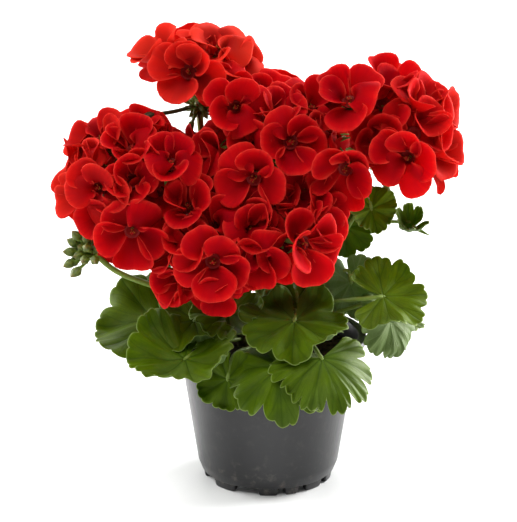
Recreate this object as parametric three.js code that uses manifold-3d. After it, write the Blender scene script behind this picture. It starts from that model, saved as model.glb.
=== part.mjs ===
// Potted geranium: a round nursery pot full of peat, four leafy stems rooted in it, and seven
// heads of red florets with a cluster of green buds.
// Millimetres, +Z up, +X to the viewer's right, +Y away from the viewer.
// Places in the lists below are measured from the pot's axis, with z = 0 where the feet stand.

import * as THREE from "three";
import { mergeVertices } from "three/addons/utils/BufferGeometryUtils.js";
import Module from "manifold-3d";

const wasm = await Module();
wasm.setup();

// The pot's axis stands this far from the origin, which is under the middle of the whole plant
const POT_AXIS = [6.65, -3.2, 0];

// Pot
const RIM_RADIUS = 60;
const RIM_EDGE = 1;
const POT_HEIGHT = 91;
const LIP_DEPTH = 4;
const WALL = 1.4;
const WALL_TOP_RADIUS = 55;
const WALL_FOOT_RADIUS = 43.4;
const WALL_FOOT_Z = 11;
const SKIRT_RADIUS = 41;
const FLOOR_Z = 5;
const FOOT_OUTER = 39.6;
const FOOT_INNER = 36.4;
const FOOT_CHAMFER = 0.6;
const POT_SIDES = 24;
const DRAIN_COUNT = 5;
const DRAIN_RADIUS = 3.6;
const DRAIN_RING = 24;
// Where the foot ring is cut away, in degrees, repeated half a turn round.
// Bearing 0 is the side nearest the viewer.
const FOOT_GAPS = [[-31, -9], [8.5, 15], [27, 35], [54, 62], [78, 86], [104, 125]];

// Peat
const SOIL_TOP = 82;
const SOIL_CROWN = 84;
const SOIL_SHOULDER = 3;

// Pieces that touch on the real plant stay this far apart, and leaves this far from the pot
const CLEARANCE = 0.35;
const POT_CLEARANCE = 0.7;

// Stems and stalks
const STEM_RADIUS = 4.2;
const STEM_SIDES = 6;
const STEM_STEPS = 4;
const PEDUNCLE_RADIUS = 2;
const PEDUNCLE_SIDES = 5;
const HUB_RADIUS = 3.2;
const PETIOLE_RADIUS = 1.25;
const PETIOLE_SIDES = 4;
const PETIOLE_STEPS = 3;
const PEDICEL_RADIUS = 0.8;
const PEDICEL_SIDES = 3;
const PEDICEL_BEND = 20;
const CALYX_LENGTH = 7;
const CALYX_RADIUS = 2.1;

// Leaves: seven round lobes, each with three scallops, spread over most of a turn
const LEAF_THICK = 0.8;
const LOBES = 7;
const LEAF_HALF_SPAN = 168;
const LOBE_NOTCH = 0.17;
const SCALLOP = 0.055;
const SCALLOPS = 3;
const LEAF_SHOULDER = 0.16;
const PLEAT = 0.06;
const EDGE_WAVE = 0.05;
const LEAF_HEART = 0.06;
const LEAF_RING = 0.55;
// A leaf's stalk comes in under the gap between its two lowest lobes, this far out and down
const SINUS_ENTRY = [0, -0.42, -0.05];
// A leaf that hangs outside the pot has its stalk this far above the rim
const STALK_OVER_RIM = 4;
const HANGING_BELOW = 12;

// Florets: five petals round a small funnel, which lean, cup and droop by a seeded draw
const PETAL_LENGTH = 22;
const PETAL_THICK = 0.8;
const PETAL_HALF_ANGLE = 49;
const CLAW_HALF_ANGLE = 24;
const CLAW = 0.12;
const CLAW_REACH = 0.5;
const RIM_ROUND = 0.1;
const RIM_CORNER = 0.22;
const THROAT_RISE = 9;
const THROAT_DEPTH = 0.5;
const PETAL_ROLL = 12;
const PETAL_TURN_OFF = [-4, 4];
const PETAL_STRETCH = [0.95, 1.05];
const PETAL_PITCH_OFF = [-4, 4];
const PETAL_CUP = [0.1, 0.35];
const PETAL_DROOP = [3, 6];
const PETALS = [
  { turn: -8, long: 1, wide: 1 },
  { turn: 57, long: 1, wide: 0.92 },
  { turn: 123, long: 1, wide: 0.92 },
  { turn: 188, long: 1, wide: 1 },
  { turn: 270, long: 1.04, wide: 1.06 },
];
// Corners of a petal as reach from throat to rim and side across, and the point they fan from
const PETAL_CORNERS = [[0, -1], [1, -0.9], [1, -0.32], [1, 0.32], [1, 0.9], [0, 1]];
const PETAL_MIDDLE = [0.5, 0];
// Scraps that a cut leaves behind are smaller than these volumes
const GREEN_SCRAP = 1;
const PETAL_SCRAP = 40;

// Each leafy stem: where it runs
const STEMS = {
  left: [[-14, -2, 56], [-15, -2, 86], [-24, -4, 116]],
  front: [[0, -13, 56], [0, -15, 86], [-4, -21, 112]],
  right: [[15, 3, 56], [17, 3, 86], [27, 4, 118]],
  back: [[-1, 15, 56], [-1, 17, 86], [-2, 20, 116]],
};

// Each flower head: its stem, the line of its stalk from that stem to the hub, and its florets as
// place of the throat, bearing and lift of the way it faces, turn in its own plane, opening, size,
// and for one of them the number that its petals are drawn from
const HEADS = {
  top_left: {
    stem: "back",
    stalk: [[-1.6, 18.6, 102], [-15, 20, 134], [-32, 22, 178], [-40, 24, 206], [-42, 25, 229]],
    florets: [
      [-46, -1, 253, -10, 22, -25, 14, 1.02],
      [-60, 16, 257, -60, 48, 10, 8, 1],
      [-31, 22, 260, -6, 62, 0, 18, 1],
      [-23, 20, 250, 50, 30, -8, 16, 0.95],
      [-44, 52, 250, 176, 22, 0, 14, 1],
    ],
  },
  left: {
    stem: "left",
    stalk: [[-23, -4, 112], [-42, -6, 140], [-62, -10, 167], [-80, -13, 186]],
    florets: [
      [-97, -42, 194, -24, 8, -6, 12, 1],
      [-79, -50, 171, 2, -8, 4, 8, 1.05],
      [-57, -44, 207, 10, 46, 0, 18, 0.87],
      [-79, -28, 211, -6, 60, 8, 18, 1],
      [-98, -12, 213, -44, 42, 0, 14, 1],
      [-78, 8, 208, 12, 70, 0, 18, 0.95],
      [-108, 6, 198, -80, 18, 0, 12, 1],
      [-107, -18, 182, -60, -4, 0, 14, 0.95],
      [-98, 2, 168, -110, -24, 0, 14, 0.95],
      [-88, 20, 196, -160, 12, 0, 16, 1],
      [-64, -32, 191, 10, 4, 0, 16, 0.95],
    ],
  },
  centre: {
    stem: "back",
    stalk: [[-2, 20, 114], [1, 17, 145], [2, 8, 180], [1, 2, 200]],
    florets: [
      [-20, -20, 236, 8, 14, 20, 12, 1],
      [-1, 6, 230, -4, 56, 0, 16, 1],
      [24, -3, 230, 24, 46, 0, 18, 1],
      [12, -33, 219, 12, 10, -6, 14, 1.02],
      [-8, -42, 200, -18, -4, 0, 10, 1.08],
      [19, -34, 190, 16, 6, 10, 16, 0.95],
      [-7, 28, 196, -150, -4, 0, 14, 1],
      [4, 34, 228, 178, 30, 0, 14, 1],
    ],
  },
  right: {
    stem: "right",
    stalk: [[26, 4, 114], [44, 14, 142], [62, 16, 155], [75, 12, 164], [72, 6, 178], [68, 2, 196]],
    florets: [
      [47, -24, 239, -12, 50, 0, 14, 1.08],
      [81, -42, 212, -26, 2, 6, 12, 1.06],
      [45, -38, 205, -16, -8, 0, 8, 1.1],
      [73, 6, 240, 8, 64, 0, 12, 1.05],
      [86, -13, 232, 36, 46, 0, 10, 1.05],
      [95, 4, 226, 62, 20, 0, 14, 1],
      [96, 12, 211, 80, 0, 36, 14, 0.7],
      [82, 38, 222, 158, 28, 0, 14, 1],
      [54, 32, 224, -150, 36, 0, 14, 1],
    ],
  },
  front_left: {
    stem: "front",
    stalk: [[-3, -18.5, 103], [-13, -24, 125], [-27, -27, 144], [-38, -30, 152]],
    florets: [
      [-32, -62, 156, -2, 0, 0, 10, 1.08],
      [-50, -47, 143, -30, -16, 10, 14, 0.86],
      [-30, -56, 142, 4, -42, 0, 20, 0.85],
      [-46, -45, 181, -10, 48, 0, 18, 0.95],
      [-12, -46, 169, 20, 20, 0, 18, 0.95],
    ],
  },
  front_right: {
    stem: "front",
    stalk: [[-4, -21, 110], [1, -25, 132], [8, -25, 147], [13, -25, 158]],
    florets: [
      [18, -60, 166, 34, 0, 0, 12, 1.1, 873],
      [-4, -53, 158, -14, -14, 0, 14, 0.95],
      [28, -33, 178, 30, 16, 0, 16, 0.95],
    ],
  },
  back: {
    stem: "back",
    stalk: [[-1.6, 18.8, 104], [8, 33, 132], [21, 45, 160], [30, 50, 178]],
    florets: [
      [26, 84, 186, 178, 6, 0, 12, 1.05],
      [60, 68, 186, 120, 14, 0, 14, 1],
      [-2, 68, 194, -142, 20, 0, 14, 1],
      [32, 64, 212, 174, 58, 0, 16, 1],
      [44, 78, 158, 150, -26, 0, 14, 1],
      [8, 78, 160, -160, -24, 0, 14, 0.95],
    ],
  },
};

// Each leaf: stem, height at which its stalk leaves the stem, place of its heart, bearing and lift
// of its upper face, turn of its tip, radius, how far its edge cups, how far its halves fold,
// points along the edge of each lobe and, where the gap at the stalk is wide, its half span
const LEAVES = {
  left: [
    [94, [-69, -6, 101], -18, 62, 92, 40, 0, 0.05, 6],
    [88, [-49, -57, 94], -14, 66, 150, 34, 0.34, 0.05, 6],
    [104, [-44, -34, 110], -14, 62, 150, 26, 0, 0.06, 4],
    [90, [-64, 38, 95], -118, 74, 180, 32, -0.1, 0.05, 4],
    [112, [-55, 22, 131], -112, 56, 180, 26, -0.1, 0.06, 4],
  ],
  front: [
    [88, [-24, -61, 83], -18, 14, 170, 21, -0.05, 0.03, 4],
    [90, [6, -70, 93.5], -4, 52, 184, 31, -0.42, 0.03, 6],
    [94, [31, -73, 100], 12, 54, 191, 33, -0.42, 0.03, 6, 118],
    [104, [15, -50, 115], 2, 74, 176, 34, -0.03, 0.03, 6],
    [108, [-24, -36, 116], -8, 62, 190, 24, 0, 0.06, 4],
  ],
  right: [
    [104, [68, -30, 124], 16, 52, -88, 28, 0.02, 0.06, 6, 154],
    [96, [71, -25, 107], 42, 28, 180, 27, -0.2, 0.08, 4],
    [108, [50, -2, 122], 10, -8, 200, 20, 0.1, 0.35, 4],
    [122, [47, 4, 157], 5, 14, 180, 18.5, -0.04, 0.12, 4],
    [126, [64, -5, 171], 16, 30, 190, 16, 0, 0.4, 4],
    [94, [70, 26, 102], 100, 68, 180, 32, -0.1, 0.05, 4],
  ],
  back: [
    [90, [34, 57, 98], 150, 62, 180, 35, -0.08, 0.05, 4],
    [96, [-14, 62, 110], -170, 60, 180, 34, -0.08, 0.05, 4],
    [110, [-13, 55, 134], -168, 54, 180, 27, -0.08, 0.06, 4],
  ],
};

// A small curled leaf on a long thin stalk, right of the rest
const CURLED_LEAF = {
  at: [86, 8.7, 157], bearing: 12, lift: 50, turn: 110, radius: 12, cup: 0.8, fold: 0.45, perLobe: 4,
};
const CURLED_STALK = [[60, 16, 154], [74, 13, 158], [86, 9, 159]];

// Green bud cluster at the left: its stalk, its hub, and buds spread over a cap round its axis
const BUD_STALK = [[-21, -3, 106], [-40, -18, 116], [-66, -33, 132], [-101, -30, 151]];
const BUD_STALK_RADIUS = 1.7;
const BUD_HUB = BUD_STALK.at(-1);
const BUD_HUB_RADIUS = 3;
const BUD_AXIS = [-0.82, -0.3, 0.62];
const BUD_CAP = 0.95;
const BUD_COUNT = 13;
const BUD_REACH = 20.5;
const BUD_LENGTH = 9;
const BUD_WIDTH = 5.8;
const BUD_WIDEST = 0.55;

// Single buds under the top-left head: stem, the head whose hub they spring from, far end and length
const LONE_BUDS = [
  { stem: "back", head: "top_left", end: [-79, 10, 222], length: 15 },
  { stem: "back", head: "top_left", end: [-49, 8, 212], length: 11 },
  { stem: "left", head: "left", end: [-29, 3, 218], length: 17 },
];

const rad = THREE.MathUtils.degToRad;
const vector = (at) => new THREE.Vector3(...at);

function smooth(x) {
  const c = Math.min(1, Math.max(0, x));
  return c * c * (3 - 2 * c);
}

// A repeatable draw from 0 to 1 for two whole numbers
function draw(i, j) {
  const s = Math.sin(i * 12.9898 + j * 78.233) * 43758.5453;
  return s - Math.floor(s);
}

const between = ([least, most], i, j) => least + (most - least) * draw(i, j);

// Frame of a floret or leaf: local Z is the way it faces, local Y its upright turned by roll
function facing(at, bearing, lift, roll) {
  const face = new THREE.Vector3(
    Math.sin(rad(bearing)) * Math.cos(rad(lift)),
    -Math.cos(rad(bearing)) * Math.cos(rad(lift)),
    Math.sin(rad(lift)),
  );
  const up = new THREE.Vector3(0, 0.25, 1);
  const upright = up.addScaledVector(face, -up.dot(face)).normalize();
  const side = upright.clone().cross(face);
  const turned = new THREE.Matrix4().makeRotationZ(rad(roll));
  return new THREE.Matrix4().makeBasis(side, upright, face).multiply(turned).setPosition(...at);
}

// Closed geometry from points and triangles, with shared vertices
function closedGeometry(points, triangles) {
  const geometry = new THREE.BufferGeometry();
  geometry.setAttribute("position", new THREE.Float32BufferAttribute(points.flat(), 3));
  geometry.setIndex(triangles.flat());
  return geometry;
}

function toSolid(geometry) {
  const bare = geometry.clone();
  bare.deleteAttribute("normal");
  bare.deleteAttribute("uv");
  const merged = mergeVertices(bare, 1e-4);
  return new wasm.Manifold(new wasm.Mesh({
    numProp: 3,
    vertProperties: new Float32Array(merged.attributes.position.array),
    triVerts: new Uint32Array(merged.index.array),
  }));
}

function toGeometry(solid) {
  const { vertProperties, triVerts } = solid.getMesh();
  const geometry = new THREE.BufferGeometry();
  geometry.setAttribute("position", new THREE.BufferAttribute(vertProperties, 3));
  geometry.setIndex(new THREE.BufferAttribute(triVerts, 1));
  geometry.computeVertexNormals();
  return geometry;
}

const join = (solids) => solids.reduce((whole, next) => whole.add(next));

// Separate bodies of a solid, the largest first, without scraps
function bodies(solid, scrap) {
  return solid.decompose()
    .filter((body) => body.volume() > scrap)
    .sort((a, b) => b.volume() - a.volume());
}

// Thin blade: the same triangles on its upper and lower face, and walls along its border.
// A border edge belongs to one triangle only.
function blade(points, normals, triangles, thick) {
  const shifted = (by) => points.map((p, i) => p.map((c, k) => c + normals[i][k] * by));
  const count = points.length;
  const edges = new Map();
  for (const [a, b, c] of triangles) {
    for (const [from, to] of [[a, b], [b, c], [c, a]]) edges.set(`${from} ${to}`, [from, to]);
  }
  const walls = [];
  for (const [from, to] of edges.values()) {
    if (edges.has(`${to} ${from}`)) continue;
    walls.push([to, from, from + count], [to, from + count, to + count]);
  }
  const under = triangles.map(([a, b, c]) => [c + count, b + count, a + count]);
  const shell = [...shifted(thick / 2), ...shifted(-thick / 2)];
  return closedGeometry(shell, [...triangles, ...under, ...walls]);
}

// Unit normal of a surface given by two parameters, from its slopes
function slopeNormal(surface, u, v) {
  const step = 0.01;
  const at = vector(surface(u, v));
  const du = vector(surface(u + step, v)).sub(at);
  const dv = vector(surface(u, v + step)).sub(at);
  return du.cross(dv).normalize().toArray();
}

// Point of a petal: reach 0 at the throat to 1 at the rim, side -1 to 1 across.
// The petal lies along `turn`, is pitched forward, cupped, and rolled to overlap its neighbour.
function petalPoint(petal, reach, side) {
  const open = THREE.MathUtils.lerp(CLAW_HALF_ANGLE, PETAL_HALF_ANGLE, smooth(reach / CLAW_REACH));
  const angle = rad(side * open * petal.wide);
  const rim = 1 - RIM_ROUND * side ** 2 - RIM_CORNER * side ** 6;
  const radius = petal.length * (CLAW + (1 - CLAW) * reach * rim);
  const along = radius * Math.cos(angle);
  const across = radius * Math.sin(angle);
  const height = THROAT_RISE * (1 - (1 - reach) ** 3)
    - petal.droop * reach ** 2
    + petal.cup * across ** 2 / petal.length
    + across * Math.tan(rad(PETAL_ROLL)) * smooth(reach / 0.35);
  const pitch = rad(petal.pitch) * smooth(reach / 0.3);
  const out = along * Math.cos(pitch) - height * Math.sin(pitch);
  const rise = along * Math.sin(pitch) + height * Math.cos(pitch);
  const turn = rad(petal.turn);
  return [
    out * Math.cos(turn) - across * Math.sin(turn),
    out * Math.sin(turn) + across * Math.cos(turn),
    rise,
  ];
}

// One petal's own measures, drawn for its place in the floret and the floret's number
function petalOf(kind, index, number, opening, size, grow) {
  return {
    turn: kind.turn + between(PETAL_TURN_OFF, number, index),
    length: PETAL_LENGTH * kind.long * size * between(PETAL_STRETCH, number, index + 10) + grow,
    wide: kind.wide,
    pitch: opening + between(PETAL_PITCH_OFF, number, index + 20),
    cup: between(PETAL_CUP, number, index + 30),
    droop: between(PETAL_DROOP, number, index + 40),
  };
}

// A floret in its own frame: five blades of six corners that share one small funnel
function floretGeometry(number, opening, size, grow) {
  const points = [[0, 0, -THROAT_DEPTH]];
  const normals = [[0, 0, 1]];
  const triangles = [];
  const ring = [];
  PETALS.forEach((kind, index) => {
    const petal = petalOf(kind, index, number, opening, size, grow);
    const surface = (reach, side) => petalPoint(petal, reach, side);
    const first = points.length;
    for (const [reach, side] of [...PETAL_CORNERS, PETAL_MIDDLE]) {
      points.push(surface(reach, side));
      normals.push(reach === 0 ? [0, 0, 1] : slopeNormal(surface, reach, side));
    }
    const corners = PETAL_CORNERS.length;
    for (let k = 0; k < corners; k += 1) {
      triangles.push([first + corners, first + k, first + ((k + 1) % corners)]);
    }
    ring.push(first, first + corners - 1);
  });
  for (let k = 0; k < ring.length; k += 1) {
    triangles.push([0, ring[k], ring[(k + 1) % ring.length]]);
  }
  return blade(points, normals, triangles, PETAL_THICK + 2 * grow);
}

// Edge of a leaf in lobe steps from 0 to LOBES, as a share of its radius
function leafEdge(step) {
  const lobe = step - Math.floor(step);
  const notch = LOBE_NOTCH * (1 - Math.sqrt(Math.sin(Math.PI * lobe)));
  const scallop = SCALLOP * (1 - Math.abs(Math.sin(SCALLOPS * Math.PI * lobe)));
  const shoulder = LEAF_SHOULDER * Math.abs(2 * step / LOBES - 1) ** 4;
  return 1 - notch - scallop - shoulder;
}

// Point of a leaf: step round the edge, reach 0 at the heart to 1 at the edge
function leafPoint(leaf, step, reach) {
  const angle = rad(leaf.span * (2 * step / LOBES - 1));
  const radius = leaf.radius * reach * leafEdge(Math.min(LOBES - 1e-6, Math.max(0, step)));
  const across = radius * Math.sin(angle);
  const along = radius * Math.cos(angle);
  const lift = PLEAT * leaf.radius * reach ** 1.3 * Math.cos(2 * Math.PI * step)
    + leaf.cup * radius ** 2 / leaf.radius
    + leaf.fold * Math.abs(across)
    + EDGE_WAVE * leaf.radius * reach ** 3 * Math.sin(3 * angle + leaf.wave);
  return [across, along, lift];
}

// A leaf in its own frame: heart at the origin, tip along +Y, upper face along +Z
function leafGeometry(leaf, grow) {
  const surface = (step, reach) => leafPoint(leaf, step, reach);
  const points = [[0, -LEAF_HEART * leaf.radius, 0]];
  const normals = [[0, 0, 1]];
  const triangles = [];
  const addRing = (count, reach) => {
    const first = points.length;
    for (let k = 0; k <= count; k += 1) {
      const step = LOBES * k / count;
      points.push(surface(step, reach));
      normals.push(slopeNormal(surface, Math.min(step, LOBES - 0.02), reach));
    }
    return first;
  };
  const inner = addRing(LOBES, LEAF_RING);
  const outer = addRing(LOBES * leaf.perLobe, 1);
  for (let k = 0; k < LOBES; k += 1) {
    triangles.push([0, inner + k + 1, inner + k]);
    const from = outer + k * leaf.perLobe;
    for (let j = 0; j < leaf.perLobe; j += 1) {
      const near = j < leaf.perLobe / 2 ? inner + k : inner + k + 1;
      triangles.push([near, from + j + 1, from + j]);
    }
    triangles.push([inner + k, inner + k + 1, from + leaf.perLobe / 2]);
  }
  return blade(points, normals, triangles, LEAF_THICK + 2 * grow);
}

// Tube of few sides along a smooth line through the given points
function tube(line, radius, sides, steps) {
  const outline = new THREE.Shape();
  for (let k = 0; k < sides; k += 1) {
    const angle = 2 * Math.PI * k / sides;
    const at = [radius * Math.cos(angle), radius * Math.sin(angle)];
    if (k === 0) outline.moveTo(...at);
    else outline.lineTo(...at);
  }
  const extrudePath = new THREE.CatmullRomCurve3(line.map(vector));
  return toSolid(new THREE.ExtrudeGeometry(outline, { steps, bevelEnabled: false, extrudePath }));
}

// Place on a stem's line at a given height
function stemAt(name, height) {
  const curve = new THREE.CatmullRomCurve3(STEMS[name].map(vector));
  let low = 0;
  let high = 1;
  for (let k = 0; k < 20; k += 1) {
    const middle = (low + high) / 2;
    if (curve.getPoint(middle).z < height) low = middle;
    else high = middle;
  }
  return curve.getPoint(low).toArray();
}

// Line of a leaf's stalk: from its stem, over the pot's rim if the leaf hangs outside, and into
// the gap between the leaf's two lowest lobes
function stalkLine(root, frame, radius) {
  const heart = vector([0, -0.4, -0.3]).applyMatrix4(frame);
  const entry = vector(SINUS_ENTRY).multiplyScalar(radius).applyMatrix4(frame);
  if (heart.z < POT_HEIGHT + HANGING_BELOW && Math.hypot(heart.x, heart.y) > RIM_RADIUS) {
    const inwards = 0.97 * RIM_RADIUS / Math.hypot(entry.x, entry.y);
    const height = Math.max(POT_HEIGHT + STALK_OVER_RIM, entry.z);
    return [root, [entry.x * inwards, entry.y * inwards, height], heart.toArray()];
  }
  const half = vector(root).lerp(entry, 0.5);
  return [root, [half.x, half.y, half.z + 2], entry.toArray(), heart.toArray()];
}

function leafSolid(leaf, frame, grow) {
  const grown = { ...leaf, radius: leaf.radius + grow };
  return toSolid(leafGeometry(grown, grow).applyMatrix4(frame));
}

function leafSolids(name, grow) {
  return LEAVES[name].flatMap((entry, index) => {
    const [height, heart, bearing, lift, turn, radius, cup, fold, perLobe, span = LEAF_HALF_SPAN] = entry;
    const leaf = { radius, cup, fold, perLobe, span, wave: 2 * Math.PI * draw(index, radius) };
    const frame = facing(heart, bearing, lift, turn);
    const line = stalkLine(stemAt(name, height), frame, radius);
    return [
      leafSolid(leaf, frame, grow),
      tube(line, PETIOLE_RADIUS + grow, PETIOLE_SIDES, PETIOLE_STEPS),
    ];
  });
}

function curledLeafSolids(grow) {
  const { at, bearing, lift, turn } = CURLED_LEAF;
  const leaf = { ...CURLED_LEAF, span: LEAF_HALF_SPAN, wave: 1 };
  return [
    leafSolid(leaf, facing(at, bearing, lift, turn), grow),
    tube(CURLED_STALK, PETIOLE_RADIUS + grow, PETIOLE_SIDES, PETIOLE_STEPS),
  ];
}

// Stalk of few sides along a smooth line, with a radius for each of its evenly spaced rings
function taper(line, radii, sides) {
  const path = new THREE.CatmullRomCurve3(line.map(vector));
  const steps = radii.length - 1;
  const { normals, binormals } = path.computeFrenetFrames(steps);
  const points = [];
  const triangles = [];
  radii.forEach((radius, ring) => {
    const middle = path.getPointAt(ring / steps);
    for (let k = 0; k < sides; k += 1) {
      const angle = 2 * Math.PI * k / sides;
      const at = middle.clone()
        .addScaledVector(normals[ring], radius * Math.cos(angle))
        .addScaledVector(binormals[ring], radius * Math.sin(angle));
      points.push(at.toArray());
      if (ring === steps) continue;
      const here = ring * sides + k;
      const next = ring * sides + (k + 1) % sides;
      triangles.push([here, next, next + sides], [here, next + sides, here + sides]);
    }
  });
  const last = steps * sides;
  for (let k = 2; k < sides; k += 1) {
    triangles.push([0, k, k - 1], [last, last + k - 1, last + k]);
  }
  return toSolid(closedGeometry(points, triangles));
}

// Pedicel of one floret, widening to the green cup that ends just behind its petals
function pedicelSolid(hub, floret, grow) {
  const [x, y, z, bearing, lift, roll] = floret;
  const frame = facing([x, y, z], bearing, lift, roll);
  const behind = (depth) => vector([0, 0, -depth]).applyMatrix4(frame);
  const top = PETAL_THICK / 2 + THROAT_DEPTH + CLEARANCE;
  const bend = behind(PEDICEL_BEND).lerp(vector(hub), 0.35).toArray();
  const line = [hub, bend, behind(top + CALYX_LENGTH).toArray(), behind(top).toArray()];
  const radii = [PEDICEL_RADIUS, PEDICEL_RADIUS, PEDICEL_RADIUS * 1.15, CALYX_RADIUS];
  return taper(line, radii.map((radius) => radius + grow), PEDICEL_SIDES);
}

const knob = (at, radius) => toSolid(new THREE.OctahedronGeometry(radius, 0).translate(...at));

function headSolids(head, grow) {
  const hub = head.stalk.at(-1);
  return [
    tube(head.stalk, PEDUNCLE_RADIUS + grow, PEDUNCLE_SIDES, head.stalk.length + 1),
    knob(hub, HUB_RADIUS + grow),
    ...head.florets.map((floret) => pedicelSolid(hub, floret, grow)),
  ];
}

// A bud on its straight stalk, from the place it springs from to its tip
function budSolid(root, end, length, grow) {
  const axis = vector(end).sub(vector(root));
  const reach = axis.length();
  const outline = [
    new THREE.Vector2(0, 0),
    new THREE.Vector2(PEDICEL_RADIUS + grow, 0),
    new THREE.Vector2(PEDICEL_RADIUS + grow, reach - length),
    new THREE.Vector2(BUD_WIDTH / 2 + grow, reach - length * BUD_WIDEST),
    new THREE.Vector2(0, reach + grow),
  ];
  const up = new THREE.Vector3(0, 1, 0);
  const turn = new THREE.Quaternion().setFromUnitVectors(up, axis.normalize());
  return toSolid(new THREE.LatheGeometry(outline, 4).applyQuaternion(turn).translate(...root));
}

function budCluster(grow) {
  const axis = vector(BUD_AXIS).normalize();
  const turn = new THREE.Quaternion().setFromUnitVectors(new THREE.Vector3(0, 0, 1), axis);
  const goldenAngle = Math.PI * (3 - Math.sqrt(5));
  const solids = [
    tube(BUD_STALK, BUD_STALK_RADIUS + grow, PEDUNCLE_SIDES, BUD_STALK.length + 1),
    knob(BUD_HUB, BUD_HUB_RADIUS + grow),
  ];
  for (let k = 0; k < BUD_COUNT; k += 1) {
    const polar = Math.acos(1 - BUD_CAP * (k + 0.5) / BUD_COUNT);
    const way = new THREE.Vector3().setFromSphericalCoords(1, polar, k * goldenAngle);
    const out = new THREE.Vector3(way.z, way.x, way.y).applyQuaternion(turn);
    const tip = vector(BUD_HUB).addScaledVector(out, BUD_REACH).toArray();
    solids.push(budSolid(BUD_HUB, tip, BUD_LENGTH, grow));
  }
  return solids;
}

function loneBuds(name, grow) {
  return LONE_BUDS.filter(({ stem }) => stem === name)
    .map(({ head, end, length }) => budSolid(HEADS[head].stalk.at(-1), end, length, grow));
}

// What grows on one stem only, beside leaves, heads and lone buds
const EXTRAS = { left: budCluster, front: () => [], right: curledLeafSolids, back: () => [] };

// Everything green on one leafy stem, as one solid; `grow` fattens it all round
function leafyStem(name, grow) {
  const heads = Object.values(HEADS).filter((head) => head.stem === name);
  return join([
    tube(STEMS[name], STEM_RADIUS + grow, STEM_SIDES, STEM_STEPS),
    ...leafSolids(name, grow),
    ...heads.flatMap((head) => headSolids(head, grow)),
    ...EXTRAS[name](grow),
    ...loneBuds(name, grow),
  ]);
}

function headPetals(name, first, grow) {
  return join(HEADS[name].florets.map((entry, index) => {
    const [x, y, z, bearing, lift, roll, opening, size, seed = first + index] = entry;
    const floret = floretGeometry(seed, opening, size, grow);
    return toSolid(floret.applyMatrix4(facing([x, y, z], bearing, lift, roll)));
  }));
}

// Solid turned round the Z axis from an outline of radius and height
function turned(outline, sides) {
  const points = outline.map(([radius, height]) => new THREE.Vector2(radius, height));
  return toSolid(new THREE.LatheGeometry(points, sides).rotateX(Math.PI / 2));
}

// Sector of a flat ring between two bearings, for cutting the foot ring
function footGap(from, to) {
  const outline = new THREE.Shape();
  outline.absarc(0, 0, FOOT_OUTER + WALL, rad(from - 90), rad(to - 90), false);
  outline.absarc(0, 0, FOOT_INNER - WALL, rad(to - 90), rad(from - 90), true);
  const ring = new THREE.ExtrudeGeometry(outline, { depth: FLOOR_Z, bevelEnabled: false, curveSegments: 3 });
  return toSolid(ring.translate(0, 0, -1));
}

// Height at which the pot's wall meets its lip
const LIP_Z = POT_HEIGHT - LIP_DEPTH;
const WALL_TOP_Z = LIP_Z - RIM_EDGE;

function makePot() {
  let pot = turned([
    [0, FLOOR_Z], [FOOT_INNER, FLOOR_Z], [FOOT_INNER, 0], [FOOT_OUTER, 0],
    [FOOT_OUTER + FOOT_CHAMFER, FLOOR_Z - FOOT_CHAMFER], [SKIRT_RADIUS, FLOOR_Z],
    [WALL_FOOT_RADIUS, WALL_FOOT_Z], [WALL_TOP_RADIUS, WALL_TOP_Z],
    [RIM_RADIUS - RIM_EDGE, LIP_Z], [RIM_RADIUS, POT_HEIGHT - RIM_EDGE], [RIM_RADIUS - RIM_EDGE, POT_HEIGHT],
    [WALL_TOP_RADIUS, POT_HEIGHT], [WALL_TOP_RADIUS - WALL, WALL_TOP_Z],
    [WALL_FOOT_RADIUS - WALL, WALL_FOOT_Z], [SKIRT_RADIUS - WALL, FLOOR_Z + WALL], [0, FLOOR_Z + WALL],
  ], POT_SIDES);
  for (const half of [0, 180]) {
    for (const [from, to] of FOOT_GAPS) pot = pot.subtract(footGap(from + half, to + half));
  }
  for (let k = 0; k < DRAIN_COUNT; k += 1) {
    const angle = 2 * Math.PI * (k + 0.5) / DRAIN_COUNT;
    const hole = new THREE.CylinderGeometry(DRAIN_RADIUS, DRAIN_RADIUS, 2 * FLOOR_Z, 8);
    hole.rotateX(Math.PI / 2);
    hole.translate(DRAIN_RING * Math.cos(angle), DRAIN_RING * Math.sin(angle), FLOOR_Z);
    pot = pot.subtract(toSolid(hole));
  }
  return pot;
}

// The pot's wall fattened all round: nothing green enters it
function potKeepOut() {
  const outside = turned([
    [0, 0], [SKIRT_RADIUS + POT_CLEARANCE, 0], [WALL_FOOT_RADIUS + POT_CLEARANCE, WALL_FOOT_Z],
    [WALL_TOP_RADIUS + POT_CLEARANCE, WALL_TOP_Z - POT_CLEARANCE], [RIM_RADIUS + POT_CLEARANCE, WALL_TOP_Z],
    [RIM_RADIUS + POT_CLEARANCE, POT_HEIGHT + POT_CLEARANCE], [0, POT_HEIGHT + POT_CLEARANCE],
  ], POT_SIDES);
  const inwards = WALL + POT_CLEARANCE;
  const inside = turned([
    [0, FLOOR_Z + inwards], [SKIRT_RADIUS - inwards, FLOOR_Z + inwards],
    [WALL_FOOT_RADIUS - inwards, WALL_FOOT_Z], [WALL_TOP_RADIUS - inwards, WALL_TOP_Z],
    [WALL_TOP_RADIUS - POT_CLEARANCE, POT_HEIGHT + 1], [0, POT_HEIGHT + 1],
  ], POT_SIDES);
  return outside.subtract(inside);
}

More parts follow.
